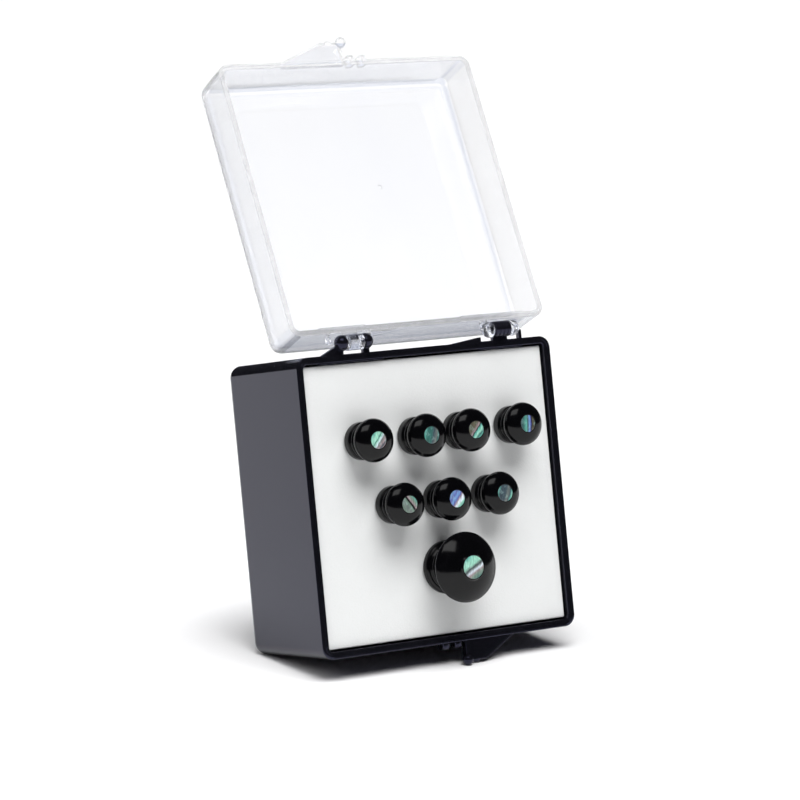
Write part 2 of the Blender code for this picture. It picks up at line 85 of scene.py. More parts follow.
class Bench:
    """Hand operations on one piece at a time."""

    @staticmethod
    def clear() -> None:
        """Leave edit mode and deselect everything."""
        if bpy.context.mode != "OBJECT":
            bpy.ops.object.mode_set(mode="OBJECT")
        bpy.ops.object.select_all(action="DESELECT")

    @staticmethod
    def take(piece: bpy.types.Object) -> None:
        """Select one piece alone and make it active."""
        Bench.clear()
        piece.select_set(True)
        bpy.context.view_layer.objects.active = piece

    @staticmethod
    def named(name: str) -> bpy.types.Object:
        """Name the primitive just added and fix its size and place in its mesh.

        Args:
            name: the piece's name.

        Returns:
            The new piece.
        """
        piece = bpy.context.active_object
        piece.name = name
        piece.data.name = name
        bpy.ops.object.transform_apply(location=True, rotation=True, scale=True)
        return piece

    @staticmethod
    def block(name: str, low: Sequence[float], high: Sequence[float]) -> bpy.types.Object:
        """A block between two corners.

        Args:
            name: the piece's name.
            low: its lowest corner.
            high: its highest corner.

        Returns:
            The block, ready to be worked.
        """
        Bench.clear()
        size = Vector(high) - Vector(low)
        middle = (Vector(low) + Vector(high)) / 2
        bpy.ops.mesh.primitive_cube_add(size=1.0, location=middle, scale=size)
        return Bench.named(name)

    @staticmethod
    @contextmanager
    def editing(piece: bpy.types.Object, mode: str = "FACE") -> Iterator[None]:
        """Work on a piece in edit mode, with nothing selected at the start.

        Args:
            piece: the piece.
            mode: VERT, EDGE or FACE selection.
        """
        Bench.take(piece)
        bpy.ops.object.mode_set(mode="EDIT")
        bpy.ops.mesh.select_mode(type=mode)
        bpy.ops.mesh.select_all(action="DESELECT")
        yield
        bpy.ops.object.mode_set(mode="OBJECT")

    @staticmethod
    def pick_faces(piece: bpy.types.Object, test: Callable[[Vector, Vector], bool]) -> None:
        """Select the faces that pass a test.

        Args:
            piece: the piece, in edit mode.
            test: is given a face's middle and its normal.
        """
        mesh = bmesh.from_edit_mesh(piece.data)
        mesh.normal_update()
        for face in mesh.faces:
            face.select_set(test(face.calc_center_median(), face.normal))
        bmesh.update_edit_mesh(piece.data)

    @staticmethod
    def pick_edges(piece: bpy.types.Object, test: Callable[[Vector, Vector], bool]) -> None:
        """Select the edges that pass a test.

        Args:
            piece: the piece, in edit mode.
            test: is given an edge's two ends.
        """
        mesh = bmesh.from_edit_mesh(piece.data)
        for edge in mesh.edges:
            edge.select_set(test(edge.verts[0].co, edge.verts[1].co))
        bmesh.update_edit_mesh(piece.data)

    @staticmethod
    def apply(piece: bpy.types.Object, kind: str, **settings: Any) -> None:
        """Add one modifier with its settings and apply it.

        Args:
            piece: the piece.
            kind: the modifier's type.
            settings: its settings.
        """
        Bench.take(piece)
        modifier = piece.modifiers.new(kind.lower(), kind)
        for key, value in settings.items():
            setattr(modifier, key, value)
        bpy.ops.object.modifier_apply(modifier=modifier.name)

    @staticmethod
    def soften(piece: bpy.types.Object, width: float, segments: int = 3) -> bpy.types.Object:
        """Round the sharp edges of a piece.

        Args:
            piece: the piece.
            width: the width of the rounding.
            segments: its facets.

        Returns:
            The same piece.
        """
        Bench.apply(
            piece, "BEVEL", width=width, segments=segments, limit_method="ANGLE", angle_limit=radians(35)
        )
        return piece

    @staticmethod
    def work_in(piece: bpy.types.Object, tool: bpy.types.Object, how: Join) -> None:
        """Join a solid onto a piece or take it out, and remove the tool solid.

        Args:
            piece: the piece that stays.
            tool: the solid that is used up.
            how: joined on or taken out.
        """
        Bench.apply(piece, "BOOLEAN", operation=how.value, object=tool, solver="EXACT")
        bpy.data.meshes.remove(tool.data)

    @staticmethod
    def shift(piece: bpy.types.Object, by: Sequence[float]) -> bpy.types.Object:
        """Move all of a piece's mesh.

        Args:
            piece: the piece.
            by: how far, along each axis.

        Returns:
            The same piece.
        """
        with Bench.editing(piece, "VERT"):
            bpy.ops.mesh.select_all(action="SELECT")
            bpy.ops.transform.translate(value=by)
        return piece

    @staticmethod
    def close_up(piece: bpy.types.Object) -> None:
        """Weld doubles and turn all faces outwards.

        Args:
            piece: the piece.
        """
        with Bench.editing(piece, "VERT"):
            bpy.ops.mesh.select_all(action="SELECT")
            bpy.ops.mesh.remove_doubles(threshold=0.0005 * MM)
            bpy.ops.mesh.normals_make_consistent(inside=False)

    @staticmethod
    def smooth(piece: bpy.types.Object, angle: float = 35.0, weighted: bool = False) -> None:
        """Shade a piece smooth across shallow edges.

        Args:
            piece: the piece.
            angle: the steepest edge that is smoothed, in degrees.
            weighted: keep large flats flat beside rounded edges.
        """
        Bench.take(piece)
        bpy.ops.object.shade_smooth_by_angle(angle=radians(angle))
        if weighted:
            Bench.apply(piece, "WEIGHTED_NORMAL", keep_sharp=True, weight=80)

    @staticmethod
    def lay(piece: bpy.types.Object, turn: Sequence[float], at: Sequence[float] = (0, 0, 0)
            ) -> bpy.types.Object:
        """Turn a piece, move it, and fix both in its mesh.

        Args:
            piece: the piece.
            turn: its turn about each axis, in radians.
            at: where its own origin goes.

        Returns:
            The same piece.
        """
        piece.rotation_euler = turn
        piece.location = at
        Bench.take(piece)
        bpy.ops.object.transform_apply(location=True, rotation=True, scale=True)
        return piece

    @staticmethod
    def ball(name: str, radius: float, at: Sequence[float], segments: int = 40,
             turn: Sequence[float] = (0, pi / 2, 0)) -> bpy.types.Object:
        """A ball at its place.

        Args:
            name: the piece's name.
            radius: its radius.
            at: its middle.
            segments: facets round it; it has half as many from pole to pole.
            turn: which way its poles point, along X unless it says otherwise.

        Returns:
            The ball.
        """
        Bench.clear()
        bpy.ops.mesh.primitive_uv_sphere_add(
            segments=segments, ring_count=segments // 2, radius=radius, location=at, rotation=turn
        )
        return Bench.named(name)

    @staticmethod
    def dress(piece: bpy.types.Object, material: bpy.types.Material, body: str, node: str, slot: str
              ) -> None:
        """Give a settled piece its material, and say what it rides on and stands for.

        Args:
            piece: the piece.
            material: its finish.
            body: the CAD body it rides on.
            node: the CAD node it stands for.
            slot: the record's material slot; not used.
        """
        piece.data.materials.clear()
        piece.data.materials.append(material)
        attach(piece, body)
        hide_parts(node)
        LOG.info("%s: %d faces", piece.name, len(piece.data.polygons))

    @staticmethod
    def twin(piece: bpy.types.Object, name: str) -> bpy.types.Object:
        """A copy of a piece with its own mesh.

        Args:
            piece: the piece that is copied.
            name: the copy's name.

        Returns:
            The copy.
        """
        copy = piece.copy()
        copy.data = piece.data.copy()
        copy.name = name
        copy.data.name = name
        bpy.context.scene.collection.objects.link(copy)
        return copy

    @staticmethod
    def settle(piece: bpy.types.Object, place: Matrix) -> bpy.types.Object:
        """Keep the piece's own frame on its mesh, then put the mesh in its place on the object.

        Args:
            piece: the finished piece, in its own frame.
            place: its own frame in the object's frame.

        Returns:
            The same piece.
        """
        own = piece.data.attributes.new(OWN_PLACE, "FLOAT_VECTOR", "POINT")
        for vertex, item in zip(piece.data.vertices, own.data):
            item.vector = vertex.co
        Bench.take(piece)
        piece.matrix_world = place
        bpy.ops.object.transform_apply(location=True, rotation=True, scale=True)
        return piece


class Lathe:
    """Turning on the Z axis: a ring is drawn out and sized along a profile of (radius, height)."""

    @staticmethod
    def arc(centre: tuple[float, float], radii: tuple[float, float], start: float, end: float,
            steps: int) -> Profile:
        """Points of an elliptic arc.

        Args:
            centre: its centre.
            radii: its half widths along radius and height.
            start: its first angle in degrees.
            end: its last angle in degrees.
            steps: how many pieces it has.

        Returns:
            The points, both ends among them.
        """
        turns = [radians(start + (end - start) * index / steps) for index in range(steps + 1)]
        return [(centre[0] + radii[0] * cos(turn), centre[1] + radii[1] * sin(turn)) for turn in turns]

    @staticmethod
    def turn(name: str, profile: Profile, sides: int) -> bpy.types.Object:
        """Turn a solid from a profile whose two ends are closed at the axis.

        Args:
            name: the piece's name.
            profile: (radius, height) from the face down; all radii are above zero.
            sides: facets round the axis.

        Returns:
            The turned solid.
        """
        Bench.clear()
        radius, height = profile[0]
        bpy.ops.mesh.primitive_circle_add(
            vertices=sides, radius=radius, fill_type="TRIFAN", location=(0, 0, height)
        )
        piece = Bench.named(name)
        with Bench.editing(piece, "EDGE"):
            bpy.ops.mesh.select_all(action="SELECT")
            bpy.ops.mesh.region_to_loop()
            for next_radius, next_height in profile[1:]:
                rise = next_height - height
                bpy.ops.mesh.extrude_edges_move(TRANSFORM_OT_translate={"value": (0, 0, rise)})
                ratio = next_radius / radius
                bpy.ops.transform.resize(value=(ratio, ratio, 1), center_override=(0, 0, next_height))
                radius, height = next_radius, next_height
            bpy.ops.mesh.extrude_edges_move(TRANSFORM_OT_translate={"value": (0, 0, 0)})
            bpy.ops.mesh.merge(type="CENTER")
        Bench.close_up(piece)
        return piece


# --------------------------------------------------------------------------- shader wiring


@dataclass(frozen=True)
class Signal:
    """One number running through a shader, with its sums written as Python."""

    shader: "Shader"
    socket: bpy.types.NodeSocket

    def _sum(self, operation: str, left: Any, right: Any) -> "Signal":
        """Wire one Math node."""
        made = self.shader.node("ShaderNodeMath", {"operation": operation}, {0: left, 1: right})
        return Signal(self.shader, made.outputs[0])

    def __add__(self, other: Any) -> "Signal":
        """This plus another."""
        return self._sum("ADD", self, other)

    def __radd__(self, other: Any) -> "Signal":
        """Another plus this."""
        return self._sum("ADD", other, self)

    def __sub__(self, other: Any) -> "Signal":
        """This less another."""
        return self._sum("SUBTRACT", self, other)

    def __rsub__(self, other: Any) -> "Signal":
        """Another less this."""
        return self._sum("SUBTRACT", other, self)

    def __mul__(self, other: Any) -> "Signal":
        """This times another."""
        return self._sum("MULTIPLY", self, other)

    def __rmul__(self, other: Any) -> "Signal":
        """Another times this."""
        return self._sum("MULTIPLY", other, self)

    def __lt__(self, other: Any) -> "Signal":
        """One where this is below another, else nought."""
        return self._sum("LESS_THAN", self, other)

    def __gt__(self, other: Any) -> "Signal":
        """One where this is above another, else nought."""
        return self._sum("GREATER_THAN", self, other)

    def span(self, low: float, high: float, to_low: float = 0.0, to_high: float = 1.0) -> "Signal":
        """Stretch a range of this signal onto another, held at its ends.

        Args:
            low: start of the range that is read.
            high: end of the range that is read.
            to_low: what its start becomes.
            to_high: what its end becomes.

        Returns:
            The stretched signal.
        """
        made = self.shader.node(
            "ShaderNodeMapRange", {"clamp": True},
            {"Value": self, "From Min": low, "From Max": high, "To Min": to_low, "To Max": to_high},
        )
        return Signal(self.shader, made.outputs["Result"])


class Shader:
    """A material as it is wired up."""

    def __init__(self, name: str) -> None:
        """Start an empty material."""
        self.material = bpy.data.materials.new(name)
        self.material.use_nodes = True
        self.tree = self.material.node_tree
        self.tree.nodes.clear()

    def node(self, kind: str, settings: Optional[dict[str, Any]] = None,
             sockets: Optional[dict[Union[str, int], Any]] = None) -> bpy.types.Node:
        """Add a node, set it up and feed its sockets.

        Args:
            kind: the node's type.
            settings: its settings; "stops" are a ramp's (place, colour) pairs.
            sockets: values, signals or sockets for its inputs, by name or number.

        Returns:
            The node.
        """
        made = self.tree.nodes.new(kind)
        for key, value in (settings or {}).items():
            if key == "stops":
                self._set_stops(made.color_ramp, value)
            else:
                setattr(made, key, value)
        for key, value in (sockets or {}).items():
            self.feed(made.inputs[key], value)
        return made

    def feed(self, socket: bpy.types.NodeSocket, value: Any) -> None:
        """Link a signal or a socket into an input, or set its value.

        Args:
            socket: the input.
            value: a signal, a socket or a plain value.
        """
        if isinstance(value, Signal):
            self.tree.links.new(value.socket, socket)
        elif isinstance(value, bpy.types.NodeSocket):
            self.tree.links.new(value, socket)
        else:
            socket.default_value = value

    @staticmethod
    def _set_stops(ramp: bpy.types.ColorRamp, stops: Sequence[tuple[float, Colour]]) -> None:
        """Give a ramp its stops."""
        while len(ramp.elements) > 1:
            ramp.elements.remove(ramp.elements[-1])
        for index, (place, colour) in enumerate(stops):
            element = ramp.elements[0] if index == 0 else ramp.elements.new(place)
            element.position = place
            element.color = (*colour, 1.0)

    def own_place(self, scale: Sequence[float] = (1, 1, 1), turn: Sequence[float] = (0, 0, 0)
                  ) -> bpy.types.NodeSocket:
        """The place in the piece's own frame, for a pattern to follow.

        Args:
            scale: how much finer the pattern is along each axis.
            turn: the pattern's turn about each axis, in radians.

        Returns:
            The place's socket.
        """
        source = self.node("ShaderNodeAttribute", {"attribute_name": OWN_PLACE})
        mapped = self.node(
            "ShaderNodeMapping", None,
            {"Vector": source.outputs["Vector"], "Rotation": tuple(turn), "Scale": tuple(scale)},
        )
        return mapped.outputs["Vector"]

    def noise(self, vector: bpy.types.NodeSocket, scale: float, detail: float = 2.0,
              distortion: float = 0.0) -> Signal:
        """A cloudy signal about one half.

        Args:
            vector: the place it follows.
            scale: how many clouds fit in a metre.
            detail: how many finer layers it has.
            distortion: how far it is stirred.

        Returns:
            The signal.
        """
        made = self.node(
            "ShaderNodeTexNoise", None,
            {"Vector": vector, "Scale": scale, "Detail": detail, "Distortion": distortion},
        )
        return Signal(self, made.outputs[0])

    def cells(self, vector: bpy.types.NodeSocket, scale: float) -> tuple[Signal, bpy.types.NodeSocket]:
        """Cells of random places: the distance to each middle, and a colour for each."""
        made = self.node("ShaderNodeTexVoronoi", None, {"Vector": vector, "Scale": scale})
        return Signal(self, made.outputs["Distance"]), made.outputs["Color"]

    def parts(self, vector: bpy.types.NodeSocket) -> tuple[Signal, Signal, Signal]:
        """The three numbers of a vector."""
        made = self.node("ShaderNodeSeparateXYZ", None, {0: vector})
        return Signal(self, made.outputs[0]), Signal(self, made.outputs[1]), Signal(self, made.outputs[2])

    def radius(self, vector: bpy.types.NodeSocket) -> Signal:
        """The distance from the Z axis."""
        flat = self.node(
            "ShaderNodeVectorMath", {"operation": "MULTIPLY"}, {0: vector, 1: (1.0, 1.0, 0.0)}
        )
        made = self.node("ShaderNodeVectorMath", {"operation": "LENGTH"}, {0: flat.outputs[0]})
        return Signal(self, made.outputs["Value"])

    def vector(self, x: Any, y: Any, z: Any = 0.0) -> bpy.types.NodeSocket:
        """A vector from three numbers or signals."""
        return self.node("ShaderNodeCombineXYZ", None, {0: x, 1: y, 2: z}).outputs[0]

    def mix(self, share: Any, first: Any, second: Any, blend: str = "MIX") -> bpy.types.NodeSocket:
        """Mix two colours.

        Args:
            share: how much of the second shows.
            first: a colour or a colour socket.
            second: a colour or a colour socket.
            blend: the way they are mixed.

        Returns:
            The mixed colour's socket.
        """
        colours = [(*one, 1.0) if isinstance(one, tuple) else one for one in (first, second)]
        made = self.node(
            "ShaderNodeMix", {"data_type": "RGBA", "blend_type": blend},
            {0: share, 6: colours[0], 7: colours[1]},
        )
        return made.outputs[2]

    def bump(self, height: Signal, depth: float, under: Optional[bpy.types.NodeSocket] = None
             ) -> bpy.types.NodeSocket:
        """Relief of a given depth in metres, laid over another relief if there is one."""
        sockets: dict[Union[str, int], Any] = {"Height": height, "Distance": depth, "Strength": 1.0}
        if under is not None:
            sockets["Normal"] = under
        return self.node("ShaderNodeBump", None, sockets).outputs["Normal"]

    def surface(self, sockets: dict[Union[str, int], Any]) -> bpy.types.Material:
        """Close the material with its main surface.

        Args:
            sockets: what the surface's inputs are fed.

        Returns:
            The finished material.
        """
        body = self.node("ShaderNodeBsdfPrincipled", None, sockets)
        self.node("ShaderNodeOutputMaterial", None, {"Surface": body.outputs[0]})
        return self.material


# --------------------------------------------------------------------------- finishes


@dataclass(frozen=True)
class BlackMoulding:
    """Glossy black polystyrene as it comes from the mould, with a little dust and handling, and a painted
    blue cast on its reflections.
    """

    name: str = "black_moulding"
    ink: Colour = (0.0045, 0.0045, 0.0062)
    dust: Colour = (0.10, 0.10, 0.12)
    gloss: float = 0.07
    # Specular tint: a painted blue cast on the reflections, standing in for the bluish light they pick up.
    painted_blue_reflection_tint: Colour = (0.60, 0.61, 1.0)

    def material(self) -> bpy.types.Material:
        """Wire the finish up."""
        shader = Shader(self.name)
        place = shader.own_place()
        specks, tint = shader.cells(place, 620.0)
        chosen, size, _ = shader.parts(tint)
        dust = (specks < size * 0.055 + 0.02) * (chosen > 0.62)
        smears = shader.noise(shader.own_place((1, 0.35, 1)), 190.0, 4.0, 0.6)
        waves = shader.noise(place, 42.0, 1.0)
        peel = shader.noise(place, 1500.0, 2.0)
        scratches = shader.noise(shader.own_place((1, 0.03, 1), (0, 0, 0.5)), 2400.0, 1.0)
        scratched = scratches.span(0.70, 0.76)
        rough = self.gloss + smears.span(0.45, 0.8) * 0.07 + dust * 0.35 + scratched * 0.05
        relief = shader.bump(waves, 0.020 * MM)
        relief = shader.bump(peel + scratched * 0.5, 0.00045 * MM, relief)
        return shader.surface({
            "Base Color": shader.mix(dust * 0.45 + smears.span(0.5, 0.9) * 0.03, self.ink, self.dust),
            "Roughness": rough,
            "IOR": 1.5,
            "Specular IOR Level": 0.46,
            "Specular Tint": (*self.painted_blue_reflection_tint, 1.0),
            "Normal": relief,
        })


@dataclass(frozen=True)
class ClearMoulding:
    """Clear polystyrene with faint flow lines from its gate.

    The flat plate is solid, so that what lies behind it is seen once. The walls and edges are partly
    see-through, which keeps their outlines pale.
    """

    name: str = "clear_moulding"
    tint: Colour = (0.975, 0.98, 0.992)
    cloud: Colour = (0.955, 0.962, 0.985)
    clear_walls: float = 0.55
    clear_knuckles: float = 0.95
    plate_depth: float = 9.2 * MM
    plate_half: float = 24.8 * MM
    plate_middle: float = -29.0 * MM

    def material(self) -> bpy.types.Material:
        """Wire the finish up."""
        shader = Shader(self.name)
        place = shader.own_place()
        flow = shader.noise(shader.own_place((1, 1, 0.35)), 60.0, 2.0, 1.2)
        fine = shader.noise(place, 700.0, 2.0)
        wipes = shader.noise(shader.own_place((1, 1, 0.1), (0, 0.4, 0)), 900.0, 2.0)
        relief = shader.bump(flow, 0.006 * MM)
        relief = shader.bump(fine, 0.0002 * MM, relief)
        across, depth, height = shader.parts(place)
        body = height.span(-2.3 * MM, -1.7 * MM, self.clear_walls, self.clear_knuckles)
        up = height - self.plate_middle
        near, far = (self.plate_half - 0.8 * MM) ** 2, self.plate_half ** 2
        plate = depth.span(self.plate_depth - 0.3 * MM, self.plate_depth)
        plate = plate * (1 - (across * across).span(near, far)) * (1 - (up * up).span(near, far))
        return shader.surface({
            "Alpha": body + plate * (1 - body),
            "Base Color": shader.mix(flow.span(0.3, 0.8), self.tint, self.cloud),
            "Roughness": 0.012 + wipes.span(0.6, 0.85) * 0.035,
            "IOR": 1.585,
            "Transmission Weight": 1.0,
            "Normal": relief,
        })


@dataclass(frozen=True)
class WhiteFoam:
    """Fine-celled white foam, matt, with its cells just seen: painted shade darkens the cell hollows, and its
    tone varies at random.
    """

    name: str = "white_foam"
    pale: Colour = (0.765, 0.775, 0.77)
    pit_shade_and_mottle: Colour = (0.70, 0.71, 0.705)

    def material(self) -> bpy.types.Material:
        """Wire the finish up."""
        shader = Shader(self.name)
        place = shader.own_place()
        cell, _ = shader.cells(place, 3000.0)
        grain = shader.noise(place, 6500.0, 2.0)
        cloud = shader.noise(place, 95.0, 3.0, 0.4)
        # Painted shade in the cell hollows; the cloudy share of the darker colour is random tone.
        painted_pit_shade = (1 - cell.span(0.0, 0.45)) * grain.span(0.4, 0.7)
        relief = shader.bump(cloud, 0.05 * MM)
        relief = shader.bump(cell * 0.6 + grain * 0.4, 0.028 * MM, relief)
        return shader.surface({
            "Base Color": shader.mix(painted_pit_shade * 0.7 + cloud.span(0.35, 0.75) * 0.25, self.pale, self.pit_shade_and_mottle),
            "Roughness": 0.82 + grain * 0.15,
            "Specular IOR Level": 0.25,
            "Normal": relief,
        })


@dataclass(frozen=True)
class TurnedBlack:
    """Polished black pin stock with the finest turning lines, a little greyer on its worn crests."""

    name: str = "turned_black"
    ink: Colour = (0.0012, 0.0012, 0.0016)
    worn: Colour = (0.024, 0.024, 0.028)
    crests: tuple[float, ...] = ()
    gloss: float = 0.13
    shine: float = 0.26

    def material(self) -> bpy.types.Material:
        """Wire the finish up."""
        shader = Shader(self.name)
        place = shader.own_place()
        radius = shader.radius(place)
        _, _, height = shader.parts(place)
        lines = shader.noise(shader.vector(radius * 9.0, height * 9.0), 900.0, 2.0)
        haze = shader.noise(place, 520.0, 3.0, 0.5)
        wear: Any = haze.span(0.6, 0.9) * 0.15
        for crest in self.crests:
            off = height - crest
            wear = wear + (1 - (off * off).span(0.0, (0.16 * MM) ** 2)) * haze.span(0.3, 0.6) * 0.8
        return shader.surface({
            "Base Color": shader.mix(wear, self.ink, self.worn),
            "Roughness": self.gloss + haze.span(0.45, 0.8) * 0.06 + wear * 0.1,
            "IOR": 1.5,
            "Specular IOR Level": self.shine,
            "Normal": shader.bump(lines, 0.0005 * MM),
        })


@dataclass(frozen=True)
class ShellInlay:
    """One piece of green and blue shell: bands of colour across the disc, with fine growth lines."""

    name: str
    radius: float
    turn: float
    stops: tuple[tuple[float, Colour], ...]
    growth: float = 1.1
    ripple: float = 0.25

    def material(self) -> bpy.types.Material:
        """Wire the finish up."""
        shader = Shader(self.name)
        spread = 0.5 / self.radius
        place = shader.own_place((spread, spread, spread), (0, 0, radians(self.turn)))
        across, _, _ = shader.parts(place)
        stir = shader.noise(shader.own_place((1, 1, 1)), 620.0, 3.0, 1.0)
        bands = shader.node(
            "ShaderNodeValToRGB", {"stops": self.stops}, {0: across + 0.5 + (stir - 0.5) * self.ripple}
        )
        grown = shader.own_place((self.growth, 0.22, 1), (0, 0, radians(self.turn + 14)))
        lines = shader.noise(grown, 3600.0, 2.0, 0.3)
        fire = shader.noise(shader.own_place((1, 1, 1)), 1100.0, 2.0, 0.8)
        rings = shader.mix(lines.span(0.38, 0.62) * 0.6, bands.outputs[0], (0.45, 0.42, 0.44), "MULTIPLY")
        lit = shader.mix(fire.span(0.52, 0.8) * 0.35, rings, (0.45, 0.75, 0.7), "SCREEN")
        return shader.surface({
            "Base Color": lit,
            "Roughness": 0.16 + lines * 0.12,
            "IOR": 1.53,
            "Coat Weight": 0.4,
            "Normal": shader.bump(lines, 0.002 * MM),
        })


@dataclass(frozen=True)
class PaleFloor:
    """A plain pale studio floor with the faintest grain."""

    name: str = "pale_floor"
    pale: Colour = (0.97, 0.97, 0.972)

    def material(self) -> bpy.types.Material:
        """Wire the finish up."""
        shader = Shader(self.name)
        place = shader.node("ShaderNodeTexCoord").outputs["Object"]
        grain = shader.noise(place, 240.0, 2.0)
        return shader.surface({
            "Base Color": shader.mix(grain.span(0.3, 0.7) * 0.3, self.pale, (0.955, 0.955, 0.958)),
            "Roughness": 0.9 + grain * 0.08,
            "Specular IOR Level": 0.1,
        })


# --------------------------------------------------------------------------- places


@dataclass(frozen=True)
class Stand:
    """Where the leaning, open box stands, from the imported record's joints."""

    hinge: Vector
    out: Vector
    open_angle: float

    @classmethod
    def from_record(cls, joints: Sequence[dict[str, Any]]) -> "Stand":
        """Read the hinge, its opening and the way the foam comes out."""
        by_name = {joint["name"]: joint for joint in joints}
        lid = by_name["lid_hinge"]
        span = max(abs(one) for one in lid["range_deg"])
        return cls(Vector(lid["pos_m"]), Vector(by_name["foam_lift_out"]["axis"]), radians(span))

    @property
    def tray(self) -> Matrix:
        """The tray half's own frame in the object's frame."""
        across = Vector((1, 0, 0))
        depth = -self.out.normalized()
        up = across.cross(depth)
        turned = Matrix((across, depth, up)).transposed().to_4x4()
        return Matrix.Translation(self.hinge) @ turned

    @property
    def lid(self) -> Matrix:
        """The lid half's own frame in the object's frame, with the lid open."""
        return self.tray @ Euler((self.open_angle, 0, pi)).to_matrix().to_4x4()

    def pin(self, place: tuple[float, float], face: float) -> Matrix:
        """A turned piece's own frame, its axis pointing out of the tray.

        Args:
            place: where it sits across and up the tray.
            face: how deep its face lies, negative when it stands proud of the rim.

        Returns:
            The frame.
        """
        sit = Matrix.Translation((place[0], face, place[1]))
        return self.tray @ sit @ Matrix.Rotation(pi / 2, 4, "X")


# --------------------------------------------------------------------------- the case


@dataclass
class CaseHalf:
    """One half of the hinged case, with its hinge and latch patterns."""

    name: str
    node: str
    slot: str
    side: Side
    depth: float
    wall: float
    floor: float
    draft: float
    tab_length: float
    square: float = 54.0 * MM
    hinge_gap: float = 2.0 * MM
    corner: float = 2.2 * MM
    inner_corner: float = 0.5 * MM
    rim_clearance: float = 0.15 * MM
    set_back: float = 0.1 * MM
    edge: float = 0.18 * MM
    groove: float = 0.06 * MM
    hinge_shift: float = 0.7 * MM
    hinge_x: float = 15.65 * MM
    knuckle_width: float = 3.3 * MM
    lug_radius: float = 1.47 * MM
    lug_bulge: float = 0.45 * MM
    lug_thickness: float = 1.4 * MM
    arm_depth: float = 1.3 * MM
    pip_radius: float = 0.5 * MM
    pip_length: float = 0.6 * MM
    gap: float = 0.3 * MM
    gusset_length: float = 3.2 * MM
    gusset_thickness: float = 1.2 * MM
    cheek_height: float = 1.6 * MM
    ramp_height: float = 0.8 * MM
    latch_shift: float = 1.45 * MM
    latch_x: float = 1.4 * MM
    latch_radius: float = 1.02 * MM
    latch_reach: float = 3.4 * MM
    lobe_shift: float = 2.3 * MM
    lobe_lift: float = 0.25 * MM
    lobe_share: float = 0.85
    lobe_squeeze: Point = (1.15, 0.75, 0.8)
    tab_flat: float = 4.2 * MM
    tab_thickness: float = 1.4 * MM
    keeper_xs: tuple[float, ...] = (-0.1 * MM, -2.7 * MM)
    keeper_radius: float = 0.75 * MM
    keeper_height: float = 1.1 * MM
    keeper_length: float = 2.0 * MM
    gate_radius: float = 0.9 * MM
    gate_place: tuple[float, float] = (0.0, 0.0)
    socket_depth: float = 0.7 * MM
    knuckle_ribs: int = 3
    pad_spans: tuple[tuple[float, float], ...] = ((-22.5 * MM, -9.0 * MM), (11.5 * MM, 21.0 * MM))
    pad_step: float = 0.2 * MM
    pad_height: float = 0.65 * MM
    piece: Optional[bpy.types.Object] = field(default=None, init=False)

    @property
    def wall_top(self) -> float:
        """Height of the hinge wall's outer face."""
        return -self.hinge_gap

    @property
    def wall_foot(self) -> float:
        """Height of the latch wall's outer face."""
        return -self.hinge_gap - self.square

    @property
    def front(self) -> float:
        """Depth at which the small features start behind the rim plane."""
        return self.rim_clearance + self.set_back

    def build(self, place: Matrix) -> bpy.types.Object:
        """Mould the half and put it in its place.

        Args:
            place: the half's own frame in the object's frame.

        Returns:
            The finished piece.
        """
        piece = self._shell()
        self._groove(piece)
        hinge_off = self.side.value * self.hinge_shift
        latch_off = self.side.value * self.latch_shift
        for make, off, how in (
            (self._hinge, hinge_off, Join.ADD), (self._sockets, hinge_off, Join.TAKE),
            (self._pads, 0.0, Join.ADD), (self._latch, latch_off, Join.ADD), (self._marks, 0.0, Join.TAKE),
        ):
            for tool in make():
                Bench.work_in(piece, Bench.shift(tool, (off, 0, 0)), how)
        Bench.close_up(piece)
        Bench.smooth(piece, 32.0, weighted=True)
        self.piece = Bench.settle(piece, place)
        return self.piece

    def dress(self, finish: Union[BlackMoulding, ClearMoulding]) -> None:
        """Give the half its finish and its body."""
        Bench.dress(self.piece, finish.material(), self.node, self.node, self.slot)

    def _shell(self) -> bpy.types.Object:
        """The drafted, rounded shell with its cavity and softened rim."""
        half = self.square / 2
        middle = (0, self.depth, (self.wall_top + self.wall_foot) / 2)
        low = (-half, self.rim_clearance, self.wall_foot)
        piece = Bench.block(self.name, low, (half, self.depth, self.wall_top))
        with Bench.editing(piece, "FACE"):
            Bench.pick_faces(piece, lambda at, normal: normal.y > 0.9)
            ratio = 1 - 2 * self.draft / self.square
            bpy.ops.transform.resize(value=(ratio, 1, ratio), center_override=middle)
            bpy.ops.mesh.select_mode(type="EDGE")
            behind = self.depth / 2
            Bench.pick_edges(piece, lambda a, b: a.y > behind or b.y > behind)
            bpy.ops.mesh.bevel(offset=self.corner, segments=9, profile=0.5, affect="EDGES")
            bpy.ops.mesh.select_mode(type="FACE")
            Bench.pick_faces(piece, lambda at, normal: normal.y < -0.9)
            bpy.ops.mesh.inset(thickness=self.wall, use_even_offset=True)
            reach = self.depth - self.floor - self.rim_clearance
            bpy.ops.mesh.extrude_region_move(TRANSFORM_OT_translate={"value": (0, reach, 0)})
            inside = self.square - 2 * self.wall
            ratio = 1 - 2 * self.draft / inside
            bpy.ops.transform.resize(value=(ratio, 1, ratio), center_override=middle)
            bpy.ops.mesh.region_to_loop()
            bpy.ops.mesh.bevel(
                offset=self.inner_corner, segments=4, profile=0.5, affect="EDGES", clamp_overlap=True
            )
        return Bench.soften(piece, self.edge, 3)

    def _groove(self, piece: bpy.types.Object) -> None:
        """A hairline groove round the middle of the rim."""
        land = self.wall - 2 * self.edge
        with Bench.editing(piece, "FACE"):
            plane = self.rim_clearance + 0.01 * MM
            Bench.pick_faces(piece, lambda at, normal: normal.y < -0.99 and at.y < plane)
            bpy.ops.mesh.inset(thickness=land / 2 - 1.4 * self.groove, use_even_offset=True)
            bpy.ops.mesh.inset(thickness=self.groove, depth=-self.groove, use_even_offset=True)

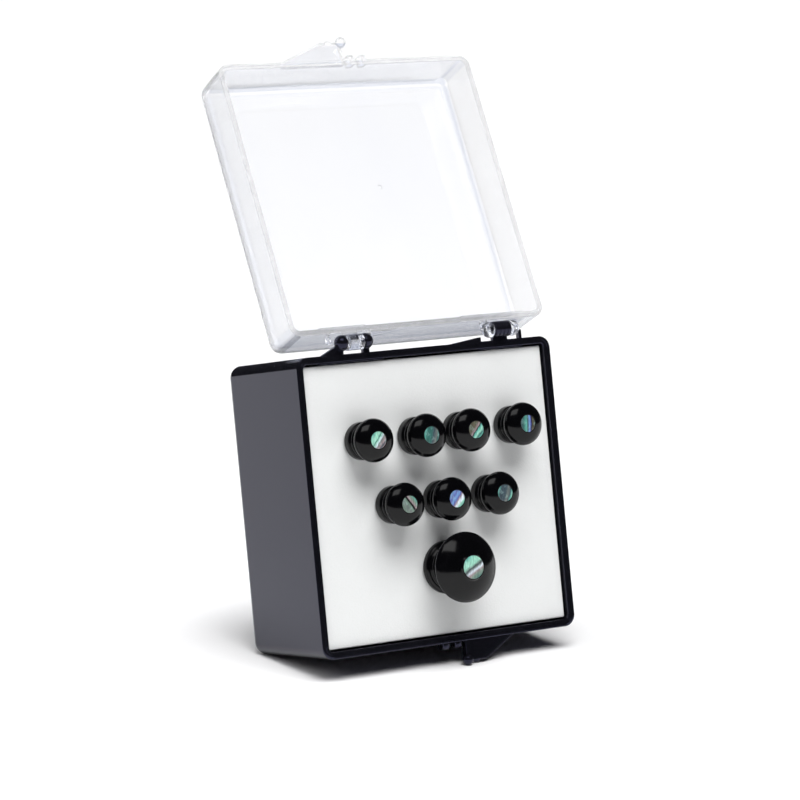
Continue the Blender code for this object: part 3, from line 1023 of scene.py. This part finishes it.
    def _dome(self, name: str, face: float, way: int) -> bpy.types.Object:
        """A lug's ball, cut flat on the side of its knuckle."""
        dome = Bench.ball(name, self.lug_radius, (face + way * self.lug_bulge, 0, 0))
        with Bench.editing(dome, "FACE"):
            bpy.ops.mesh.select_all(action="SELECT")
            bpy.ops.mesh.bisect(
                plane_co=(face, 0, 0), plane_no=(-way, 0, 0), use_fill=True, clear_outer=True
            )
        return Bench.soften(dome, 0.12 * MM, 2)

    def _barrel(self, name: str, radius: float, low_x: float, high_x: float, ribs: int = 0
                ) -> bpy.types.Object:
        """A barrel along X, ribbed round its middle if asked.

        Args:
            name: the piece's name.
            radius: its radius.
            low_x: its first end.
            high_x: its last end.
            ribs: how many grooves it has.

        Returns:
            The barrel.
        """
        edge = min(0.15 * MM, radius / 4)
        length = high_x - low_x
        profile = Lathe.arc((radius - edge, -edge), (edge, edge), 90, 0, 3)
        for index in range(ribs):
            middle = -length * (index + 1) / (ribs + 1)
            profile.append((radius, middle + 0.24 * MM))
            profile += Lathe.arc((radius, middle), (0.14 * MM, 0.16 * MM), 90, 270, 6)
            profile.append((radius, middle - 0.24 * MM))
        profile += Lathe.arc((radius - edge, edge - length), (edge, edge), 0, -90, 3)
        barrel = Bench.shift(Lathe.turn(name, profile, 48), (0, 0, high_x))
        return Bench.lay(barrel, (0, pi / 2, 0))

    def _wedge(self, name: str, x_high: float, x_low: float, top: float, depths: tuple[float, float]
               ) -> bpy.types.Object:
        """A small triangular rib on the hinge wall, highest at its first end.

        Args:
            name: the piece's name.
            x_high: the tall end.
            x_low: the end that runs out on the wall.
            top: its height at the tall end.
            depths: its front and back.

        Returns:
            The rib.
        """
        root = self.wall_top - self.wall / 2
        ends = sorted((x_high, x_low))
        rib = Bench.block(name, (ends[0], depths[0], root), (ends[1], depths[1], top))
        with Bench.editing(rib, "EDGE"):
            edge_z = (root + top) / 2
            Bench.pick_edges(
                rib,
                lambda a, b: min(a.z, b.z) > edge_z and abs(a.x - x_low) + abs(b.x - x_low) < self.edge,
            )
            drop = self.wall_top - top
            bpy.ops.transform.translate(value=(0, 0, drop))
        return Bench.soften(rib, 0.1 * MM, 2)

    def _hinge(self) -> list[bpy.types.Object]:
        """The hinge pattern about its own middle: lugs and gusset at -X, knuckle, cheek and ramp at +X."""
        root = self.wall_top - self.wall / 2
        lug_face = self.knuckle_width / 2 + self.gap
        solids = []
        for way, label in ((-1, "outer"), (1, "inner")):
            face = -self.hinge_x + way * lug_face
            solids.append(self._dome(f"{self.name}_lug_{label}", face, way))
            ends = sorted((face + way * self.set_back, face + way * self.lug_thickness))
            arm = Bench.block(
                f"{self.name}_arm_{label}", (ends[0], self.front, root), (ends[1], self.arm_depth, 0)
            )
            solids.append(Bench.soften(arm, 0.12 * MM, 2))
            pip = sorted((face + way * self.lug_bulge, face - way * self.pip_length))
            solids.append(self._barrel(f"{self.name}_pip_{label}", self.pip_radius, *pip))
        gusset_x = -self.hinge_x - lug_face - self.lug_thickness / 2
        back = self.front + self.gusset_thickness
        solids.append(
            self._wedge(
                f"{self.name}_gusset", gusset_x, gusset_x - self.lug_thickness / 2 - self.gusset_length,
                -self.set_back, (self.front + self.set_back, back - 2 * self.set_back),
            )
        )
        low, high = self.hinge_x - self.knuckle_width / 2, self.hinge_x + self.knuckle_width / 2
        solids.append(self._barrel(f"{self.name}_knuckle", self.lug_radius, low, high, self.knuckle_ribs))
        arm = Bench.block(
            f"{self.name}_knuckle_arm",
            (low + self.set_back, self.front, root), (high - self.set_back, self.arm_depth, 0),
        )
        solids.append(Bench.soften(arm, 0.12 * MM, 2))
        cheek_x = self.hinge_x + lug_face + self.lug_bulge + self.lug_radius + self.gap
        cheek = Bench.block(
            f"{self.name}_cheek", (cheek_x, self.front, root),
            (cheek_x + self.gusset_thickness / 2, back, self.wall_top + self.cheek_height),
        )
        solids.append(Bench.soften(cheek, 0.16 * MM, 3))
        ramp_x = self.hinge_x - lug_face - self.lug_bulge - self.lug_radius - self.gap
        solids.append(
            self._wedge(
                f"{self.name}_ramp", ramp_x, ramp_x - 2 * self.gusset_length,
                self.wall_top + self.ramp_height, (self.front, back),
            )
        )
        return solids

    def _sockets(self) -> list[bpy.types.Object]:
        """The sockets in the knuckle's two ends for the other half's pips."""
        half = self.knuckle_width / 2
        radius = self.pip_radius + self.gap / 2
        ends = []
        for way, label in ((-1, "outer"), (1, "inner")):
            face = self.hinge_x + way * half
            span = sorted((face + way * self.gap, face - way * self.socket_depth))
            ends.append(self._barrel(f"{self.name}_socket_{label}", radius, *span))
        return ends

    def _pads(self) -> list[bpy.types.Object]:
        """The two thicker stretches of the hinge wall's rim."""
        inside = self.wall_top - self.wall
        pads = []
        for index, (low_x, high_x) in enumerate(self.pad_spans):
            pad = Bench.block(
                f"{self.name}_rim_pad_{index + 1}", (low_x, self.front, inside - self.pad_step),
                (high_x, self.rim_clearance + self.pad_height, inside + self.wall / 2),
            )
            pads.append(Bench.soften(pad, 0.08 * MM, 2))
        return pads

    def _latch(self) -> list[bpy.types.Object]:
        """The latch pattern about its own middle: a sloping tab, its ball and lobe, and two keepers."""
        foot = self.wall_foot
        root = foot + self.wall / 2
        crest = foot - self.latch_reach - self.latch_radius / 3
        end = self.latch_x + self.tab_length
        bend = self.latch_x + self.tab_flat
        tab = Bench.block(
            f"{self.name}_tab", (self.latch_x, self.front, crest),
            (end, self.front + self.tab_thickness, root),
        )
        with Bench.editing(tab, "FACE"):
            bpy.ops.mesh.select_all(action="SELECT")
            bpy.ops.mesh.bisect(plane_co=(bend, 0, 0), plane_no=(1, 0, 0))
            bpy.ops.mesh.select_mode(type="EDGE")
            Bench.pick_edges(tab, lambda a, b: min(a.x, b.x) > end - self.edge and max(a.z, b.z) < foot)
            bpy.ops.transform.translate(value=(0, 0, foot - crest))
        solids = [Bench.soften(tab, 0.2 * MM, 3)]
        at = (self.latch_x, 0, foot - self.latch_reach)
        solids.append(Bench.ball(f"{self.name}_latch_ball", self.latch_radius, at))
        at = (self.latch_x + self.lobe_shift, self.front + self.tab_thickness / 2, crest + self.lobe_lift)
        size = self.lobe_share * self.latch_radius
        lobe = Bench.ball(f"{self.name}_latch_lobe", size, at, 36, (0, 0, 0))
        with Bench.editing(lobe, "VERT"):
            bpy.ops.mesh.select_all(action="SELECT")
            bpy.ops.transform.resize(value=self.lobe_squeeze, center_override=at)
        solids.append(lobe)
        for index, x in enumerate(self.keeper_xs):
            keeper = Bench.block(
                f"{self.name}_keeper_{index + 1}",
                (x - self.keeper_radius, self.front, foot - self.keeper_height),
                (x + self.keeper_radius, self.front + self.keeper_length, root),
            )
            solids.append(Bench.soften(keeper, 0.42 * MM, 5))
        return solids

    def _marks(self) -> list[bpy.types.Object]:
        """A shallow round gate mark in the middle of the outer face."""
        middle_z = (self.wall_top + self.wall_foot) / 2
        deep = 0.12 * self.gate_radius
        profile = [(self.gate_radius * 0.6, 2 * deep), (self.gate_radius, deep), (self.gate_radius, 0.0),
                   (self.gate_radius * 0.82, -deep), (self.gate_radius * 0.3, -0.6 * deep)]
        at = (self.gate_place[0], self.depth, middle_z + self.gate_place[1])
        return [Bench.lay(Lathe.turn(f"{self.name}_gate", profile, 36), (-pi / 2, 0, 0), at)]


# --------------------------------------------------------------------------- the foam


@dataclass
class FoamBlock:
    """The foam insert: a cut block pushed into the tray, a little crowned, with a hole for each pin."""

    name: str = "foam_block"
    square: float = 54.0 * MM
    tray_wall: float = 1.35 * MM
    tray_depth: float = 27.7 * MM
    draft: float = 0.4 * MM
    gap: float = 0.3 * MM
    recess: float = 1.0 * MM
    hinge_gap: float = 2.0 * MM
    crown: float = 0.14 * MM
    cuts: int = 30
    piece: Optional[bpy.types.Object] = field(default=None, init=False)

    def build(self, place: Matrix, holes: Sequence[tuple[tuple[float, float], float, float]]
              ) -> bpy.types.Object:
        """Cut the block, press it in and make its holes.

        Args:
            place: the tray's own frame in the object's frame.
            holes: each hole's place, radius and depth.

        Returns:
            The finished piece.
        """
        inner = self.square / 2 - self.tray_wall - self.gap
        middle_z = -self.hinge_gap - self.square / 2
        back = self.tray_depth - self.tray_wall - self.gap
        piece = Bench.block(
            self.name, (-inner, self.recess, middle_z - inner), (inner, back, middle_z + inner)
        )
        with Bench.editing(piece, "FACE"):
            Bench.pick_faces(piece, lambda at, normal: normal.y > 0.9)
            ratio = 1 - self.draft / inner
            bpy.ops.transform.resize(value=(ratio, 1, ratio), center_override=(0, back, middle_z))
            bpy.ops.mesh.select_all(action="SELECT")
            bpy.ops.mesh.subdivide(number_cuts=self.cuts)
        self._press(piece, inner, middle_z, holes)
        Bench.soften(piece, 0.3 * MM, 3)
        for index, (spot, radius, depth) in enumerate(holes):
            profile = [(radius * 0.97, 1.5 * MM), (radius, 1.2 * MM), (radius, -depth + 0.4 * MM),
                       (radius * 0.9, -depth)]
            tool = Lathe.turn(f"{self.name}_hole_{index + 1}", profile, 40)
            tool = Bench.lay(tool, (pi / 2, 0, 0), (spot[0], self.recess, spot[1]))
            Bench.work_in(piece, tool, Join.TAKE)
        Bench.close_up(piece)
        Bench.smooth(piece, 40.0)
        self.piece = Bench.settle(piece, place)
        return self.piece

    def _press(self, piece: bpy.types.Object, inner: float, middle_z: float,
               holes: Sequence[tuple[tuple[float, float], float, float]]) -> None:
        """Crown the front, give its sides the slack of cut foam, and press it down round each pin."""
        for vertex in piece.data.vertices:
            at = vertex.co
            u, w = at.x / inner, (at.z - middle_z) / inner
            if at.y < self.recess + 0.01 * MM:
                swell = max(0.0, (1 - u * u) * (1 - w * w))
                ripple = noise.noise(Vector((at.x, 0.0, at.z)) / (7 * MM)) * 0.05 * MM
                dents = 0.0
                for spot, radius, _ in holes:
                    near = hypot(at.x - spot[0], at.z - spot[1]) - radius
                    dents += 0.16 * MM * max(0.0, 1 - max(near, 0.0) / (2.2 * MM)) ** 2
                at.y += -self.crown * swell + ripple * swell + dents + 0.05 * MM * (1 - swell)
            else:
                slack = noise.noise(Vector(at) / (9 * MM)) * 0.06 * MM + 0.06 * MM
                at.x -= slack if u > 0 else -slack
                at.z -= slack if w > 0 else -slack

    def dress(self, finish: WhiteFoam) -> None:
        Bench.dress(self.piece, finish.material(), "foam_insert", "foam_insert", "foam_white")


# --------------------------------------------------------------------------- the pins


@dataclass
class TurnedPin:
    """A turned pin with an inlay let into its face: sizes shared by both kinds."""

    name: str
    length: float
    stand: float
    head: float
    rise: float
    neck: float
    bead: float
    collar: float
    shank: float
    tip: float
    inlay: float
    sides: int
    seat_depth: float = 1.3 * MM
    inlay_depth: float = 1.0 * MM
    joint: float = 0.03 * MM
    gap: float = 0.3 * MM
    model: Optional[bpy.types.Object] = field(default=None, init=False)
    inlay_model: Optional[bpy.types.Object] = field(default=None, init=False)

    def seat(self) -> Profile:
        """The bottom and wall of the inlay's seat, up to the softened lip."""
        wide = self.inlay + self.joint
        return [(wide * 0.5, -self.seat_depth), (wide, -self.seat_depth), (wide, -0.10 * MM),
                (wide + 0.02 * MM, -0.03 * MM), (wide + 0.08 * MM, -0.005 * MM)]

    def shank_profile(self, collar_back: float) -> Profile:
        """The collar's back, the tapered shank and its rounded tip."""
        step = (self.shank - self.tip) / 6
        run = self.length + collar_back - self.tip
        taper = [(self.shank - step * index, collar_back - run * index / 6) for index in range(1, 6)]
        end = Lathe.arc((0, self.tip * 0.9 - self.length), (self.tip, self.tip * 0.9), -4, -84, 12)
        fillet = Lathe.arc(
            (self.shank + 0.2 * MM, collar_back - 0.2 * MM), (0.2 * MM, 0.2 * MM), 90, 180, 4
        )
        return [*fillet, *taper, *end]

    def profile(self) -> Profile:
        """The whole profile, from the seat's middle to the tip."""
        raise NotImplementedError

    def crests(self) -> tuple[float, ...]:
        """Heights where handling has worn the polish."""
        raise NotImplementedError

    def shape(self) -> None:
        """Turn the pin and its inlay once, as the models that the copies come from."""
        self.model = Lathe.turn(f"{self.name}_model", self.profile(), self.sides)
        self.finish_model()
        Bench.smooth(self.model, 30.0)
        r = self.inlay
        disc = [(r * 0.25, 0.045 * MM), (r * 0.5, 0.04 * MM), (r * 0.75, 0.028 * MM), (r * 0.9, 0.012 * MM),
                (r - 0.05 * MM, 0.0), (r - 0.012 * MM, -0.02 * MM), (r, -0.06 * MM),
                (r, 0.05 * MM - self.inlay_depth), (r - 0.05 * MM, -self.inlay_depth),
                (r * 0.5, -self.inlay_depth)]
        disc = [(radius, height - 0.05 * MM) for radius, height in disc]
        self.inlay_model = Lathe.turn(f"{self.name}_inlay_model", disc, self.sides)
        Bench.smooth(self.inlay_model, 30.0)

    def finish_model(self) -> None:
        """Any bench work after turning."""

    def clear_models(self) -> None:
        """Remove the two models once all copies are made."""
        for model in (self.model, self.inlay_model):
            bpy.data.meshes.remove(model.data)

    def copy_to(self, node: str, place: Matrix, finish: bpy.types.Material, shell: ShellInlay) -> None:
        """Put one copy of the pin and its inlay on their CAD body.

        Args:
            node: the CAD node and body of the pin.
            place: the pin's own frame in the object's frame.
            finish: the pin's material.
            shell: the inlay's finish.
        """
        pin = Bench.settle(Bench.twin(self.model, f"turned_{node}"), place)
        Bench.dress(pin, finish, node, node, "pin_black")
        inlay = Bench.settle(Bench.twin(self.inlay_model, f"shell_of_{node}"), place)
        Bench.dress(inlay, shell.material(), node, f"{node}_inlay", "abalone")


@dataclass
class BridgePin(TurnedPin):
    """A ball-headed bridge pin with a cove, a bead, a groove and a string slot."""

    name: str = "bridge_pin"
    length: float = 28.6 * MM
    stand: float = 6.8 * MM
    head: float = 3.95 * MM
    rise: float = 1.9 * MM
    neck: float = 3.0 * MM
    bead: float = 3.35 * MM
    collar: float = 3.47 * MM
    shank: float = 2.7 * MM
    tip: float = 2.05 * MM
    inlay: float = 1.55 * MM
    sides: int = 64
    slot_width: float = 1.5 * MM
    slot_depth: float = 1.3 * MM
    bead_drop: float = 0.9 * MM

    def profile(self) -> Profile:
        """The whole profile, from the seat's middle to the tip."""
        widest = -self.rise
        back = -self.stand + self.gap / 2
        dome = Lathe.arc((0, widest), (self.head, self.rise * 1.1), 57, -38, 26)
        cove_top = dome[-1][1]
        cove = Lathe.arc((self.neck + 0.32 * MM, cove_top - 0.28 * MM), (0.32 * MM, 0.28 * MM), 110, 250, 8)
        bead_mid = cove_top - self.bead_drop
        bead = Lathe.arc((self.bead - 0.17 * MM, bead_mid), (0.17 * MM, 0.2 * MM), 100, -100, 8)
        groove = Lathe.arc(
            (self.neck + 0.22 * MM, bead_mid - 0.42 * MM), (0.22 * MM, 0.2 * MM), 120, 240, 6
        )
        shoulder = Lathe.arc(
            (self.collar - 0.3 * MM, bead_mid - 1.0 * MM), (0.3 * MM, 0.32 * MM), 90, 0, 6
        )
        foot = Lathe.arc((self.collar - 0.35 * MM, back + 0.4 * MM), (0.35 * MM, 0.4 * MM), 0, -90, 6)
        return [*self.seat(), *dome, *cove, *bead, *groove, *shoulder, *foot, *self.shank_profile(back)]

    def crests(self) -> tuple[float, ...]:
        """The bead's crest."""
        low = -self.rise - self.rise * 1.1 * sin(radians(38))
        return (low - self.bead_drop,)

    def finish_model(self) -> None:
        """Cut the string slot down the shank."""
        slot = Bench.block(
            "string_slot",
            (-self.slot_width / 2, -self.collar - self.gap, -self.length - self.gap),
            (self.slot_width / 2, self.slot_depth - self.shank, -self.stand - 2 * self.gap),
        )
        Bench.soften(slot, 0.35 * MM, 4)
        Bench.work_in(self.model, slot, Join.TAKE)


@dataclass
class EndPin(TurnedPin):
    """The end pin: a mushroom head on a flared neck, a bead, a groove, a collar and a stout shank."""

    name: str = "end_pin"
    length: float = 29.5 * MM
    stand: float = 9.9 * MM
    head: float = 6.4 * MM
    rise: float = 2.6 * MM
    neck: float = 3.9 * MM
    bead: float = 4.25 * MM
    collar: float = 4.9 * MM
    shank: float = 4.2 * MM
    tip: float = 3.0 * MM
    inlay: float = 2.1 * MM
    sides: int = 84

    def profile(self) -> Profile:
        """The whole profile, from the seat's middle to the tip."""
        rim = -self.rise
        back = -self.stand + self.gap / 2
        dome_radius = (self.head**2 + self.rise**2) / (2 * self.rise)
        start = 90 - degrees(asin((self.inlay + 0.4 * MM) / dome_radius))
        end = 90 - degrees(asin((self.head - 0.32 * MM) / dome_radius))
        dome = Lathe.arc((0, -dome_radius), (dome_radius, dome_radius), start, end, 18)
        lip = Lathe.arc((self.head - 0.42 * MM, rim - 0.26 * MM), (0.42 * MM, 0.34 * MM), 38, -70, 8)
        flare = Lathe.arc(
            (self.head - 0.5 * MM, rim - 3.0 * MM), (self.head - 0.5 * MM - self.neck, 2.35 * MM), 96, 180, 12
        )
        neck_z = rim - 4.0 * MM
        bead = Lathe.arc((self.bead - 0.2 * MM, neck_z - 0.7 * MM), (0.2 * MM, 0.24 * MM), 100, -100, 8)
        groove = Lathe.arc((self.neck + 0.2 * MM, neck_z - 1.2 * MM), (0.2 * MM, 0.16 * MM), 120, 240, 6)
        shoulder = Lathe.arc(
            (self.collar - 0.7 * MM, neck_z - 2.3 * MM), (0.7 * MM, 0.75 * MM), 88, 0, 8
        )
        foot = Lathe.arc((self.collar - 0.35 * MM, back + 0.35 * MM), (0.35 * MM, 0.35 * MM), 0, -90, 6)
        return [*self.seat(), *dome, *lip, *flare, (self.neck, neck_z), *bead, *groove, *shoulder, *foot,
                *self.shank_profile(back)]

    def crests(self) -> tuple[float, ...]:
        """The bead's crest and the head's rim."""
        return (-self.rise - 4.7 * MM, -self.rise - 0.2 * MM)


@dataclass
class PinSet:
    """All eight pins and their places on the foam."""

    recess: float = 1.0 * MM
    hinge_z: float = 56.0 * MM
    margin: float = 0.9 * MM
    bridge: BridgePin = field(default_factory=BridgePin)
    end: EndPin = field(default_factory=EndPin)
    bridge_places: tuple[tuple[float, float], ...] = (
        (-15.0 * MM, 38.2 * MM), (-3.9 * MM, 38.1 * MM), (5.6 * MM, 38.2 * MM), (16.8 * MM, 38.3 * MM),
        (-9.8 * MM, 26.2 * MM), (0.2 * MM, 26.2 * MM), (10.5 * MM, 26.2 * MM),
    )
    end_place: tuple[float, float] = (0.4 * MM, 13.8 * MM)

    def holes(self) -> list[tuple[tuple[float, float], float, float]]:
        """Place, radius and depth of each hole in the foam, from the hinge axis."""
        found = []
        for pin, (x, z) in [*((self.bridge, at) for at in self.bridge_places), (self.end, self.end_place)]:
            depth = pin.length - pin.stand + self.margin
            found.append(((x, z - self.hinge_z), pin.shank + pin.gap, depth))
        return found

    def build(self, stand: Stand, shells: Sequence[ShellInlay]) -> None:
        """Turn, copy, dress and place every pin.

        Args:
            stand: where the box stands.
            shells: an inlay finish for each pin, the end pin's last.
        """
        self.bridge.shape()
        self.end.shape()
        black = TurnedBlack(name="turned_black", crests=self.bridge.crests()).material()
        for index, (x, z) in enumerate(self.bridge_places):
            place = stand.pin((x, z - self.hinge_z), self.recess - self.bridge.stand)
            self.bridge.copy_to(f"bridge_pin_{index + 1}", place, black, shells[index])
        black = TurnedBlack(name="turned_black_end", crests=self.end.crests()).material()
        x, z = self.end_place
        place = stand.pin((x, z - self.hinge_z), self.recess - self.end.stand)
        self.end.copy_to("end_pin", place, black, shells[-1])
        self.bridge.clear_models()
        self.end.clear_models()


def shell_finishes(bridge_radius: float, end_radius: float) -> list[ShellInlay]:
    """The eight inlays, each cut from another part of the shell.

    Args:
        bridge_radius: the bridge pins' inlay radius.
        end_radius: the end pin's inlay radius.

    Returns:
        Seven finishes for the bridge pins and one for the end pin.
    """
    mint, aqua, teal = (0.36, 0.74, 0.58), (0.13, 0.46, 0.38), (0.045, 0.16, 0.14)
    sky, violet, ice = (0.20, 0.40, 0.72), (0.13, 0.14, 0.42), (0.70, 0.80, 0.88)
    rose, olive, umber = (0.36, 0.28, 0.30), (0.12, 0.115, 0.08), (0.012, 0.012, 0.012)
    grey, sage, slate = (0.17, 0.20, 0.19), (0.20, 0.30, 0.24), (0.06, 0.09, 0.11)
    return [
        ShellInlay("shell_1", bridge_radius, 38, (
            (0.0, aqua), (0.2, mint), (0.34, mint), (0.40, teal), (0.46, mint), (0.56, ice), (0.62, grey),
            (0.78, rose), (0.9, slate), (1.0, rose))),
        ShellInlay("shell_2", bridge_radius, 12, (
            (0.0, aqua), (0.22, teal), (0.45, teal), (0.6, slate), (0.8, grey), (0.9, teal), (1.0, slate))),
        ShellInlay("shell_3", bridge_radius, 40, (
            (0.0, olive), (0.3, olive), (0.44, rose), (0.5, umber), (0.58, aqua), (0.72, mint), (0.84, teal),
            (1.0, aqua))),
        ShellInlay("shell_4", bridge_radius, 4, (
            (0.0, slate), (0.2, teal), (0.36, aqua), (0.48, slate), (0.58, sky), (0.66, violet),
            (0.72, umber), (0.82, olive), (1.0, umber)), ripple=0.12),
        ShellInlay("shell_5", bridge_radius, -35, (
            (0.0, sage), (0.3, grey), (0.46, sage), (0.54, umber), (0.60, umber), (0.66, rose), (0.82, sage),
            (1.0, aqua)), ripple=0.12),
        ShellInlay("shell_6", bridge_radius, 40, (
            (0.0, sky), (0.24, violet), (0.36, sky), (0.5, violet), (0.58, rose), (0.66, ice), (0.78, ice),
            (0.86, mint), (1.0, aqua))),
        ShellInlay("shell_7", bridge_radius, 18, (
            (0.0, aqua), (0.16, slate), (0.5, slate), (0.66, grey), (0.8, slate), (0.88, aqua), (1.0, mint))),
        ShellInlay("shell_8", end_radius, 62, (
            (0.0, aqua), (0.2, mint), (0.36, mint), (0.43, sage), (0.48, slate), (0.53, grey), (0.62, ice),
            (0.72, rose), (0.84, sage), (1.0, teal)), ripple=0.18),
    ]


# --------------------------------------------------------------------------- the studio


@dataclass(frozen=True)
class Softbox:
    """One rectangular studio light."""

    name: str
    place: Point
    aim: Point
    width: float
    height: float
    power: float
    tint: Colour = (1.0, 1.0, 1.0)

    def set_up(self) -> None:
        """Put the light on its stand."""
        light = bpy.data.lights.new(self.name, "AREA")
        light.shape = "RECTANGLE"
        light.size = self.width
        light.size_y = self.height
        light.energy = self.power
        light.color = self.tint
        lamp = bpy.data.objects.new(self.name, light)
        lamp.location = self.place
        lamp.rotation_euler = (Vector(self.aim) - Vector(self.place)).to_track_quat("-Z", "Y").to_euler()
        bpy.context.scene.collection.objects.link(lamp)


@dataclass(frozen=True)
class Canopy:
    """The wide, even soft light from above the front, far enough away to light all of the floor alike."""

    name: str = "canopy"
    toward: Point = (0.0, -0.42, 0.90)
    strength: float = 2.95
    spread: float = 46.0

    def set_up(self) -> None:
        """Hang the light."""
        light = bpy.data.lights.new(self.name, "SUN")
        light.energy = self.strength
        light.angle = radians(self.spread)
        lamp = bpy.data.objects.new(self.name, light)
        lamp.rotation_euler = (-Vector(self.toward)).to_track_quat("-Z", "Y").to_euler()
        lamp.visible_glossy = False
        bpy.context.scene.collection.objects.link(lamp)


@dataclass
class Studio:
    """Floor, soft light and camera."""

    lens: float = 153.81
    camera_place: Point = (-0.32297, -0.53040, 0.15425)
    right: Point = (0.853817, -0.520565, 0.003178)
    forward: Point = (0.513313, 0.840877, -0.171568)
    floor_size: float = 14.0
    floor_drop: float = 0.02 * MM
    sensor: float = 36.0
    gloom: Colour = (0.03, 0.03, 0.036)
    through: Colour = (0.62, 0.66, 0.77)
    canopies: tuple[Canopy, ...] = (
        Canopy(), Canopy("back_canopy", (-0.62, 0.42, 0.66), strength=0.95, spread=60.0),
    )
    boxes: tuple[Softbox, ...] = (
        Softbox("window", (-0.34, -0.50, 1.15), (0.0, 0.0, 0.05), 0.85, 0.6, 3.8),
    )

    def set_up(self) -> None:
        """Lay the floor, hang the lights and set the camera."""
        self._floor()
        for light in (*self.canopies, *self.boxes):
            light.set_up()
        self._surroundings()
        self._camera()
        settings = bpy.context.scene.view_settings
        settings.view_transform = "Standard"
        settings.look = "None"

    def _floor(self) -> None:
        """A wide round-cornered floor sheet, just under the object."""
        Bench.clear()
        bpy.ops.mesh.primitive_plane_add(size=self.floor_size, location=(0, 0, -self.floor_drop))
        floor = Bench.named("studio_floor")
        with Bench.editing(floor, "VERT"):
            bpy.ops.mesh.select_all(action="SELECT")
            bpy.ops.mesh.bevel(offset=self.floor_size / 4, segments=12, affect="VERTICES")
        floor.data.materials.append(PaleFloor().material())

    def _surroundings(self) -> None:
        """A dim room, with pale walls seen past the edges of clear pieces and behind the floor."""
        world = bpy.data.worlds.new("studio")
        bpy.context.scene.world = world
        world.use_nodes = True
        tree = world.node_tree
        tree.nodes.clear()
        path = tree.nodes.new("ShaderNodeLightPath")
        colour: Any = (*self.gloom, 1.0)
        for ray, pale in (("Is Transmission Ray", self.through), ("Is Camera Ray", (1.0, 1.0, 1.0))):
            mixed = tree.nodes.new("ShaderNodeMix")
            mixed.data_type = "RGBA"
            tree.links.new(path.outputs[ray], mixed.inputs[0])
            if isinstance(colour, tuple):
                mixed.inputs[6].default_value = colour
            else:
                tree.links.new(colour, mixed.inputs[6])
            mixed.inputs[7].default_value = (*pale, 1.0)
            colour = mixed.outputs[2]
        sky = tree.nodes.new("ShaderNodeBackground")
        tree.links.new(colour, sky.inputs["Color"])
        output = tree.nodes.new("ShaderNodeOutputWorld")
        tree.links.new(sky.outputs[0], output.inputs["Surface"])

    def _camera(self) -> None:
        """A long lens, a little left of the front and a little above."""
        lens = bpy.data.cameras.new("view")
        lens.lens = self.lens
        lens.sensor_width = self.sensor
        lens.clip_start = 0.01
        lens.clip_end = 50.0
        camera = bpy.data.objects.new("view", lens)
        right, forward = Vector(self.right), Vector(self.forward)
        up = right.cross(forward)
        turned = Matrix((right, up, -forward)).transposed().to_4x4()
        camera.matrix_world = Matrix.Translation(self.camera_place) @ turned
        bpy.context.scene.collection.objects.link(camera)
        bpy.context.scene.camera = camera


def main() -> None:
    """Build the pieces in order, light them and report."""
    logging.basicConfig(level=logging.INFO, format="%(name)s: %(message)s")
    stand = Stand.from_record(frame["joints"])
    tray = CaseHalf(
        "tray_moulding", "base_tray", "tray_black", Side.TRAY, depth=27.7 * MM, wall=1.35 * MM,
        floor=1.35 * MM, draft=0.4 * MM, tab_length=10.5 * MM,
    )
    tray.build(stand.tray)
    tray.dress(BlackMoulding())
    lid = CaseHalf(
        "lid_moulding", "clear_lid", "lid_clear", Side.LID, depth=10.3 * MM, wall=1.1 * MM,
        floor=1.0 * MM, draft=0.2 * MM, tab_length=13.5 * MM, knuckle_ribs=0,
        gate_radius=0.45 * MM, gate_place=(-6.0 * MM, -5.0 * MM),
    )
    lid.build(stand.lid)
    lid.dress(ClearMoulding())
    lid.piece.visible_shadow = False
    pins = PinSet()
    foam = FoamBlock()
    foam.build(stand.tray, pins.holes())
    foam.dress(WhiteFoam())
    pins.build(stand, shell_finishes(pins.bridge.inlay, pins.end.inlay))
    Studio().set_up()


if __name__ == "__main__":
    main()
